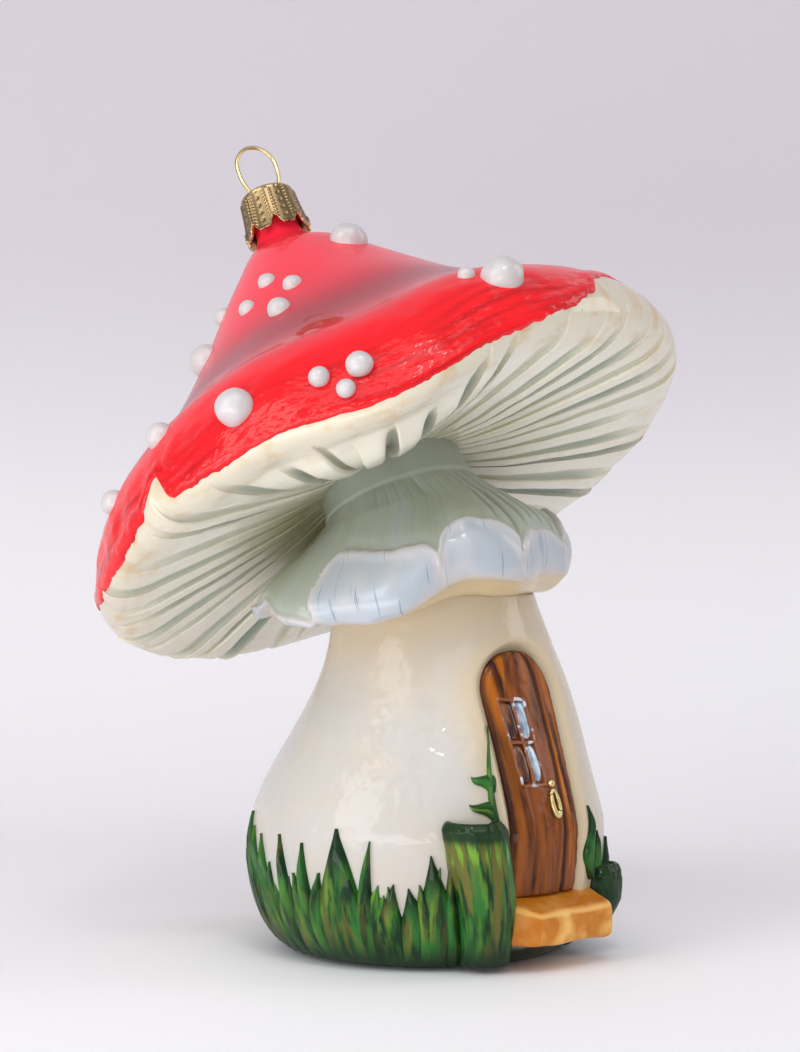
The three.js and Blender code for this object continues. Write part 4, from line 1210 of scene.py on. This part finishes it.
class TOADSTOOL_OT_collar(bpy.types.Operator):
    """Build the collar with its folded hem"""

    bl_idname = "toadstool.collar"
    bl_label = "Collar"

    def execute(self, context):
        c = settings().collar
        s = settings().stem
        _, sway, _ = stem_surface()
        frame_cap = cap_place()
        foot = sway(s.height) + UP * (s.height + 0.3 * MM)
        head = frame_cap @ Vector((0, 0, settings().cap.gill_rise))
        cap_axis = (frame_cap.to_3x3() @ UP).normalized()
        span = (head - foot).length
        axis = (foot, foot + UP * span / 3, head - cap_axis * span / 3, head)
        lean = UP.rotation_difference(cap_axis)
        outline = bow((s.top_radius, 0), (c.hem_radius, c.hem_height), HEM_BOW, 20)
        outline += bow((c.hem_radius, c.hem_height), (c.top_radius, span), SKIRT_BOW, 50)[1:]
        outline.append((c.top_radius, span + 2 * MM))
        run, at = walk(outline)
        border = 0.78 * math.dist(outline[0], outline[20])
        # the plain band under the gills
        band = run - 6.5 * MM
        first = HEM_LOBES[0][0]

        def lobe(turn):
            """Place across a lobe of the hem, from -1 to 1, and the hem's height there."""
            now = (math.degrees(turn) - first) % 360 + first
            i = bisect(HEM_LOBES, (now, math.inf))
            start, left, right = HEM_LOBES[i - 1]
            across = 2 * (now - start) / (HEM_LOBES[i][0] - start) - 1
            return across, lerp(left, right, (across + 1) / 2) * MM

        def place(turn, row):
            distance, inside = row
            r, h, out_r, out_h = at(distance)
            spot = towards(turn) * r + UP * h
            across, tall = lobe(turn + 0.05 * grain(spot, 6 * MM))
            swell = math.sqrt(max(1 - across * across, 0))
            top = border + tall * (0.5 + 0.5 * swell ** 0.5) + 0.5 * MM * grain(towards(turn), 0.1, 3)
            cuff = smooth(-1 * MM, 0.5 * MM, distance - border)
            cuff *= 1 - smooth(-0.4 * MM, 0.4 * MM, distance - top)
            middle = min(max((distance - border) / (top - border), 0), 1)
            pillow = math.sqrt(1 - (2 * middle - 1) ** 2) * swell
            lip = math.exp(-((distance - top + 0.7 * MM) / (0.6 * MM)) ** 2)
            out = c.cuff_rise * cuff * (0.3 + 0.45 * pillow + 0.7 * lip + 0.35 * grain(spot, 3 * MM, 2))
            skirt = smooth(0, 2 * MM, distance - top) * (1 - smooth(run - 9 * MM, band, distance))
            aside = math.degrees(signed(turn))
            right = smooth(-16, -2, aside) * (1 - smooth(32, 48, aside))
            crease = (1 - abs(math.sin(26 * turn))) ** 3
            out += skirt * MM * (0.4 * swell - (0.12 + 0.5 * right) * crease)
            neck = smooth(run - 7.2 * MM, band, distance)
            out += 0.4 * MM * neck + 0.1 * MM * grain(spot, 4 * MM, 5)
            if inside:
                out = -s.wall
            r += out_r * out
            h += out_h * out * (1 - neck)
            reach = min(max((r - s.top_radius) / (c.hem_radius - s.top_radius), 0), 1)
            fold = c.wave * reach * math.cos(c.folds * (turn - c.wave_turn))
            hang = fold + c.sag * reach * math.cos(c.sags * (turn - c.sag_turn))
            hang += c.droop * reach * math.cos(turn - c.droop_turn)
            hang += c.dip * reach * hump(signed(turn) - c.dip_turn, c.dip_spread)
            part = min(max(h / span, 0), 1)
            middle_line = sum((p * w for p, w in zip(axis, weights(part))), Vector())
            spoke = Quaternion().slerp(lean, part) @ (towards(turn) * (r + fold) + UP * (h - part * span))
            point = spoke + middle_line + towards(c.droop_turn) * c.shift * reach - UP * hang
            edge = min(abs(distance - top), distance - border)
            # the lobes' edges are white, white paint and painted highlight, in a wobbling width
            highlight_wobble = 1 + 0.6 * grain(spot, 4 * MM, 8)
            white = 1 - smooth(0.2 * MM, 2 * MM * highlight_wobble, edge)
            white = max(white, smooth(1 - 0.2 * highlight_wobble, 0.98, abs(across)))
            # warm: tan painted shade under the hem, where it meets the stem
            warm = 1 - smooth(-0.6 * MM, 1.2 * MM, distance - border)
            return point, (turn * c.hem_radius, distance), (max(cuff, warm), white, warm)

        rows = [(d, False) for d in steps(0, run, 130)] + [(d, True) for d in steps(run, 0, 24)]
        skirt = skin("collar", circle(480), rows, place, shell=True)
        seat("collar_skirt", [skirt], collar_glaze, "grey_glass", "collar")
        return {"FINISHED"}


class TOADSTOOL_OT_cap(bpy.types.Operator):
    """Build the red cap with its lacquered lip and neck"""

    bl_idname = "toadstool.cap"
    bl_label = "Cap"

    def execute(self, context):
        c = settings().cap
        k = settings().crown
        run, at = walk(cap_outline())
        in_cap = cap_place()
        bend = c.tilt - k.neck_tilt
        top = Vector((0, 0, c.height))
        bead_width = 0.7 * MM
        neck_root = 2.2 * MM

        def bent(point):
            """Turns the neck from the cap's axis to its own."""
            part = smooth(c.height - 5 * MM, c.height + 1 * MM, point.z)
            return top + Matrix.Rotation(bend * part, 3, "X") @ (point - top)

        def place(turn, row):
            along, inside = row
            edge = between(LACQUER_EDGE, turn) + 0.4 * MM * grain(towards(turn), 0.04, 2)
            edge += 0.3 * MM * grain(towards(turn), 0.014, 3)
            distance = edge + (run - edge) * min(along, 1)
            past = max(along - 1, 0) * k.neck_length
            r, h, out_r, out_h = at(distance)
            spot = towards(turn) * r + UP * h
            up = distance - edge
            low = 1 - smooth(6 * MM, 20 * MM, distance)
            bead = c.coat * math.sqrt(min(up / bead_width, 1)) * (1 - 0.55 * smooth(1 * MM, 4 * MM, up))
            lumps = 0.3 * MM * grain(spot, 3.2 * MM, 1) + 0.45 * MM * grain(spot, 8 * MM, 6) - 0.56 * MM
            out = bead + lumps * low * smooth(1.4 * MM, 4 * MM, up)
            out += 0.2 * MM * grain(spot, 12 * MM, 4) * smooth(0, 8 * MM, run - distance) * (1 - low)
            if inside:
                out = -c.wall
            if past:
                ease = 1 - smooth(0, neck_root, past)
                r, h, out_r, out_h = lerp(k.neck_radius, c.top_radius, ease), c.height + past, 1, 0
                out = -k.neck_wall if inside else 0
            point = rim_warp(towards(turn) * (r + out_r * out) + UP * (h + out_h * out))
            # pale: share of the painted sheen that makes the upper cap pinker
            pale = smooth(8 * MM, 36 * MM, distance)
            # waist: the band of painted shade and painted reflection round the concave waist
            waist = math.exp(-((run - distance - 42 * MM) / (11 * MM)) ** 2)
            paint = (0.9 * low ** 3, pale, 0.85 * waist)
            return in_cap @ bent(point), (turn * c.rim_radius, distance), paint

        # up the outside, closer at the lacquer's edge, and up the neck, then down the inside
        outer = [i / 700 for i in range(8)] + steps(0.012, 0.3, 44)[:-1] + steps(0.3, 1, 56)
        rows = [(d, False) for d in outer + steps(1, 2, 8)[1:]]
        rows += [(d, True) for d in [2, 1.05] + steps(0.97, 0, 24)]
        shell = skin("cap", circle(540), rows, place, shell=True)
        seat("cap_lacquer", [shell], red_lacquer, "red_glass", "cap_shell")
        return {"FINISHED"}


class TOADSTOOL_OT_gills(bpy.types.Operator):
    """Build the pleated gills, which roll over the rim up to the lacquer"""

    bl_idname = "toadstool.gills"
    bl_label = "Gills"

    def execute(self, context):
        c = settings().cap
        in_cap = cap_place()
        _, at = walk(cap_outline())
        inner = settings().collar.top_radius - 0.8 * MM
        brink = c.rim_radius - 5.5 * MM
        level = 0.9 * MM
        lap_under_red = 1.2 * MM
        # the shares of the way out at which the underside and the rolled rim end
        under = 0.7
        roll = 0.88
        chance = Random(5)
        ends = [chance.uniform(0.74, 0.95) for _ in range(c.gills)]
        slants = [chance.uniform(-0.25, 0.25) for _ in range(c.gills)]
        bold = [chance.uniform(0.35, 1) for _ in range(c.gills)]
        # columns across a pleat, closer at its steep side
        within = (0, 0.015, 0.035, 0.06, 0.1, 0.15, 0.2, 0.25, 0.3, 0.36, 0.43)
        within += (0.5, 0.6, 0.7, 0.8, 0.9, 0.96)
        # seen from the front, each pleat overlaps the one behind it, so those to the right are mirrored
        mirrored = range(round((c.lip_turn + TAU) / TAU * c.gills) - c.gills, round(0.36 * c.gills))
        mirrored = {gill % c.gills for gill in mirrored}
        columns = []
        for gill in range(c.gills):
            if gill in mirrored:
                columns += [(gill, 1 - part, part) for part in reversed(within)]
            else:
                columns += [(gill, part, part) for part in within]

        def hang(r, front):
            part = min(max((r - inner) / (c.rim_radius - inner), 0), 1)
            return c.lip_hang * front * math.sin(math.pi * part ** c.lip_bias)

        def profile(t, turn, front):
            """Radius, height and outward normal along the underside, round the roll and up the lip."""
            edge = between(LACQUER_EDGE, turn) + lap_under_red
            bend = min(edge, 4 * MM)
            if t < under:
                part = t / under
                r = lerp(inner, brink, part)
                h = lerp(c.gill_rise + 0.6 * MM, level, part ** c.gill_bow) - hang(r, front)
                return r, h, 0.12, -1
            if t < roll:
                part = (t - under) / (roll - under)
                lip = at(bend)
                first, second, third = (1 - part) ** 2, 2 * part * (1 - part), part ** 2
                r = first * brink + second * (c.rim_radius + 0.5 * MM) + third * lip[0]
                sink = hang(brink, front)
                h = first * (level - sink) + second * (c.rim_height - 0.6 * MM - sink) + third * lip[1]
                return r, h, lerp(0.12, lip[2], part), lerp(-1, lip[3], part)
            return at(lerp(bend, edge, (t - roll) / (1 - roll)))

        def place(column, row):
            gill, part, over = column
            t, side = row
            ahead = (gill + 1) % c.gills
            turn = TAU * (gill + part + lerp(slants[gill], slants[ahead], part)) / c.gills
            aside = math.degrees(signed(turn))
            front = hump(signed(turn) - c.lip_turn, c.lip_spread)
            end = lerp(ends[gill], ends[ahead], part) * lerp(1, 0.82, front)
            end *= 1 + 0.12 * smooth(-80, -105, aside)
            strength = smooth(-0.05, 0.2, t) * (1 - smooth(end - lerp(0.3, 0.16, front), end, t))
            lens = math.sin(math.pi * min(t / end, 1) ** 1.3)
            wide = 0.05 + 0.26 * lens * bold[gill]
            crest = max(1 - smooth(0, 0.05, over), smooth(wide, wide + 0.3, over))
            r, h, out_r, out_h = profile(t, turn, front)
            lap = c.gill_lap * strength * crest ** 3 * smooth(0.5, 1, max(over, 1 - 9 * over)) / r
            turn += -lap if gill in mirrored else lap
            depth = c.gill_depth * (0.5 + 0.5 * min(r / (38 * MM), 1)) * strength * bold[gill] * (1 + front)
            out = depth * (crest - 0.35) + 0.15 * MM * grain(towards(turn) * r + UP * h, 5 * MM)
            if side == 0:
                out = -c.wall
            point = rim_warp(towards(turn) * (r + out_r * out) + UP * (h + out_h * out))
            # hollow: painted shade down the steep side of each pleat
            hollow = bold[gill] * lens * strength * smooth(0, 0.04, over)
            hollow *= 1 - smooth(0.6 * wide, wide + 0.16, over)
            # share towards the rim: painted shade there, and where the tan stains lie
            stain = 0.12 + 0.88 * smooth(0.62, 0.9, t)
            # left: the olive painted shade by the collar, strongest on the left
            left = max(smooth(-90, -115, aside), 0.45 * smooth(-30, -5, aside)) * (1 - smooth(0.1, 0.5, t))
            return in_cap @ point, (turn * c.rim_radius, r), (hollow, stain, left)

        rows = [(t, 1) for t in steps(0, under, 60) + steps(under, roll, 22)[1:] + steps(roll, 1, 10)[1:]]
        rows += [(t, 0) for t in (1, roll, under, 0.3, 0)]
        pleats = skin("gills", columns, rows, place, shell=True)
        seat("gill_pleats", [pleats], gill_cream, "cream_glass", "gill_plate")
        return {"FINISHED"}


class TOADSTOOL_OT_warts(bpy.types.Operator):
    """Build the white warts on the cap"""

    bl_idname = "toadstool.warts"
    bl_label = "Warts"

    def execute(self, context):
        c = settings().cap
        run, at = walk(cap_outline())
        in_cap = cap_place()
        for number, (degrees, down, across) in enumerate(WARTS, 1):
            turn = math.radians(degrees)
            r, h, out_r, out_h = at(run - down * MM)
            middle = rim_warp(towards(turn) * r + UP * h)
            facing = towards(turn) * out_r + UP * out_h
            stand = UP.rotation_difference(facing)
            half = across * MM / 2

            def place(around, part):
                # a soft dome with a rounded foot, a little uneven
                rim = math.cos(part) if part > 0 else 1 - 0.12 * (part / 0.4) ** 2
                lift = c.wart_flatness * math.sin(part) if part > 0 else part
                spot = Vector((math.cos(around) * rim, math.sin(around) * rim, lift)) * half
                spot *= 1 + 0.09 * grain(spot + middle, 2.4 * MM)
                return in_cap @ (middle + stand @ spot), (around * half, part * half), (0, 0, 0)

            rows = [-0.5, -0.35, -0.2, -0.1] + steps(0, math.pi / 2, 14)
            dome = skin("dome", circle(36), rows, place)
            seat(f"wart_{number}_drop", [dome], white_enamel, "white_glass", f"wart_{number}")
        return {"FINISHED"}


class TOADSTOOL_OT_crown(bpy.types.Operator):
    """Build the stamped crown"""

    bl_idname = "toadstool.crown"
    bl_label = "Crown"

    def execute(self, context):
        k = settings().crown
        on_neck = neck_place()
        bottom = k.roof - k.skirt
        columns_each = 26
        shoulder = 0.7 * MM

        def place(turn, row):
            part, inside = row
            sector = (turn / TAU * k.petals) % 1
            s = 2 * sector - 1
            blunt = min(max((1 - abs(s)) / 0.55, 0), 1)
            foot = bottom + k.petal * (1 - blunt)
            wall = min(part, 1)
            z = lerp(foot, k.roof - shoulder, wall)
            climb = (z - bottom) / k.skirt
            r = k.radius + k.flare * (1 - climb) ** 1.6
            hollow = 0
            lift = 0
            if part <= 1:
                rope = 1 - smooth(0.05, 0.13, abs(abs(s) - 0.72))
                twist = 0.5 + 0.5 * math.sin(TAU * z / (0.62 * MM) + 6 * s)
                ridge = 1 - smooth(0.02, 0.09, abs(abs(s) - 0.95))
                pits = 1 - smooth(0.12, 0.3, math.hypot(s * 1.7, ((z / (1.5 * MM)) % 1 - 0.5)))
                tongue = 1 - smooth(0.1 * MM, 0.5 * MM, z - foot)
                lift = k.relief * (rope * twist + 0.9 * ridge - 0.7 * pits * (part > 0.15) + 0.8 * tongue)
                hollow = max(pits, 1 - max(rope * twist, ridge, tongue, 0.35))
                lift *= 1 - smooth(0.9, 1, part)
                hollow *= 1 - smooth(0.9, 1, part)
            else:
                over = part - 1
                r *= 1 - over
                z = k.roof - shoulder * (1 - math.sin(min(over * 4, 1) * math.pi / 2))
            if inside:
                lift = -k.wall
                z -= k.wall * (part > 1)
            point = towards(turn) * max(r + lift * (part < 2), 0) + UP * z
            return on_neck @ point, (turn * k.radius, z), (hollow * 0.8, 0, 0)

        # up the petals and the wall, over the roof, and back down the inside
        outer = steps(0, 1, 60) + [1.02, 1.05, 1.09, 1.14, 1.2, 1.27, 1.4, 1.6, 1.8, 2]
        inner = [2, 1.6, 1.2, 1, 0.6, 0.3, 0]
        rows = [(part, False) for part in outer] + [(part, True) for part in inner]
        sheet = skin("crown", circle(columns_each * k.petals), rows, place, shell=True)
        seat("crown_sheet", [sheet], stamped_sheet, "crown_brass", "crown_cap", body="crown")
        return {"FINISHED"}


class TOADSTOOL_OT_hanger(bpy.types.Operator):
    """Build the hanger wire"""

    bl_idname = "toadstool.hanger"
    bl_label = "Hanger"

    def execute(self, context):
        k = settings().crown
        on_neck = neck_place() @ Matrix.Rotation(k.turn, 4, "Z")
        half = k.loop_width / 2
        right = [
            (k.leg_offset, k.roof - k.leg),
            (k.leg_offset, k.roof - k.leg / 2),
            (k.leg_offset, k.roof),
            (lerp(k.leg_offset, half, 0.4), k.roof + k.loop_height * 0.12),
            (half, k.roof + k.loop_height * 0.48),
            (half * 0.8, k.roof + k.loop_height * 0.82),
        ]
        route = [(-x, z) for x, z in right] + [(0, k.roof + k.loop_height)] + right[::-1]
        line = bpy.data.curves.new("hanger_loop", "CURVE")
        line.dimensions = "3D"
        line.bevel_depth = k.wire
        line.bevel_resolution = 4
        line.resolution_u = 12
        line.use_fill_caps = True
        spline = line.splines.new("BEZIER")
        spline.bezier_points.add(len(route) - 1)
        for knot, (x, z) in zip(spline.bezier_points, route):
            knot.co = on_neck @ Vector((x, 0, z))
            knot.handle_left_type = "AUTO"
            knot.handle_right_type = "AUTO"
        line.materials.append(paint_material(pale_wire))
        wire = bpy.data.objects.new("hanger_loop", line)
        context.scene.collection.objects.link(wire)
        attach(wire, "hanger")
        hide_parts("hanger_wire")
        return {"FINISHED"}


class TOADSTOOL_OT_stage(bpy.types.Operator):
    """Build the studio: a pale sweep, soft lamps and the camera"""

    bl_idname = "toadstool.stage"
    bl_label = "Studio"

    def execute(self, context):
        scene = context.scene
        look = math.radians(CAMERA_TURN)
        right = Vector((math.cos(look), math.sin(look), 0))
        ahead = Vector((-math.sin(look), math.cos(look), 0))

        def spot(aside, away, high):
            return (right * aside + ahead * away + UP * high) * MM

        # the paper's outline, away from the camera and up: a floor, a bend and a wall
        bend = 160
        foot = 120
        profile = [(-700, 0), (-200, 0), (60, 0)]
        for a in steps(0, math.pi / 2, 16):
            profile.append((foot + bend * math.sin(a), bend - bend * math.cos(a)))
        profile += [(foot + bend, 500), (foot + bend, 1400)]

        def sweep(aside, row):
            away, high = row
            return spot(aside, away, high), (aside * MM, away * MM), (smooth(20, 160, high), 0, 0)

        mesh = joined("backdrop", [skin("sweep", steps(-1600, 1600, 8), profile, sweep, around=False)])
        mesh.materials.append(paint_material(backdrop_paper))
        floor = bpy.data.objects.new("backdrop", mesh)
        scene.collection.objects.link(floor)

        for name, place, target, wide, tall, power in LAMPS:
            lamp = bpy.data.lights.new(name, "AREA")
            lamp.shape = "RECTANGLE"
            lamp.size = wide * MM
            lamp.size_y = tall * MM
            lamp.energy = power
            holder = bpy.data.objects.new(name, lamp)
            holder.location = spot(*place)
            holder.rotation_euler = (spot(*target) - spot(*place)).to_track_quat("-Z", "Y").to_euler()
            scene.collection.objects.link(holder)

        world = bpy.data.worlds.new("studio_air")
        world.use_nodes = True
        sky = world.node_tree.nodes["Background"]
        sky.inputs["Color"].default_value = (*linear(SKY), 1)
        sky.inputs["Strength"].default_value = SKY_STRENGTH
        scene.world = world

        lens = bpy.data.cameras.new("photo_camera")
        lens.lens = CAMERA_LENS
        lens.sensor_width = CAMERA_SENSOR
        camera = bpy.data.objects.new("photo_camera", lens)
        camera.location = spot(*CAMERA_PLACE)
        camera.rotation_euler = (math.pi / 2, 0, look)
        scene.collection.objects.link(camera)
        scene.camera = camera
        scene.view_settings.view_transform = "Standard"
        return {"FINISHED"}


PIECES = ("stem", "door", "window", "knocker", "step", "bushes", "grass", "vine",
          "collar", "cap", "gills", "warts", "crown", "hanger", "stage")


class TOADSTOOL_PT_panel(bpy.types.Panel):
    """Buttons and sizes of the ornament"""

    bl_idname = "TOADSTOOL_PT_panel"
    bl_label = "Toadstool house"
    bl_space_type = "VIEW_3D"
    bl_region_type = "UI"
    bl_category = "Ornament"

    def draw(self, context):
        for name in PIECES:
            self.layout.operator(f"toadstool.{name}")
        for group in ("stem", "door", "plants", "collar", "cap", "crown", "colours"):
            box = self.layout.box()
            box.label(text=group.capitalize())
            sizes = getattr(context.scene.toadstool, group)
            for key in sizes.bl_rna.properties.keys():
                if key not in ("rna_type", "name"):
                    box.prop(sizes, key)


CLASSES = (
    StemSizes, DoorSizes, PlantSizes, CollarSizes, CapSizes, CrownSizes, Colours, Toadstool,
    TOADSTOOL_OT_stem, TOADSTOOL_OT_door, TOADSTOOL_OT_window, TOADSTOOL_OT_knocker, TOADSTOOL_OT_step,
    TOADSTOOL_OT_bushes, TOADSTOOL_OT_grass, TOADSTOOL_OT_vine, TOADSTOOL_OT_collar, TOADSTOOL_OT_cap,
    TOADSTOOL_OT_gills, TOADSTOOL_OT_warts, TOADSTOOL_OT_crown, TOADSTOOL_OT_hanger, TOADSTOOL_OT_stage,
    TOADSTOOL_PT_panel,
)


def register():
    for cls in CLASSES:
        bpy.utils.register_class(cls)
    bpy.types.Scene.toadstool = PointerProperty(type=Toadstool)


def unregister():
    del bpy.types.Scene.toadstool
    for cls in reversed(CLASSES):
        bpy.utils.unregister_class(cls)


def main():
    register()
    for name in PIECES:
        getattr(bpy.ops.toadstool, name)()


if __name__ == "__main__":
    main()
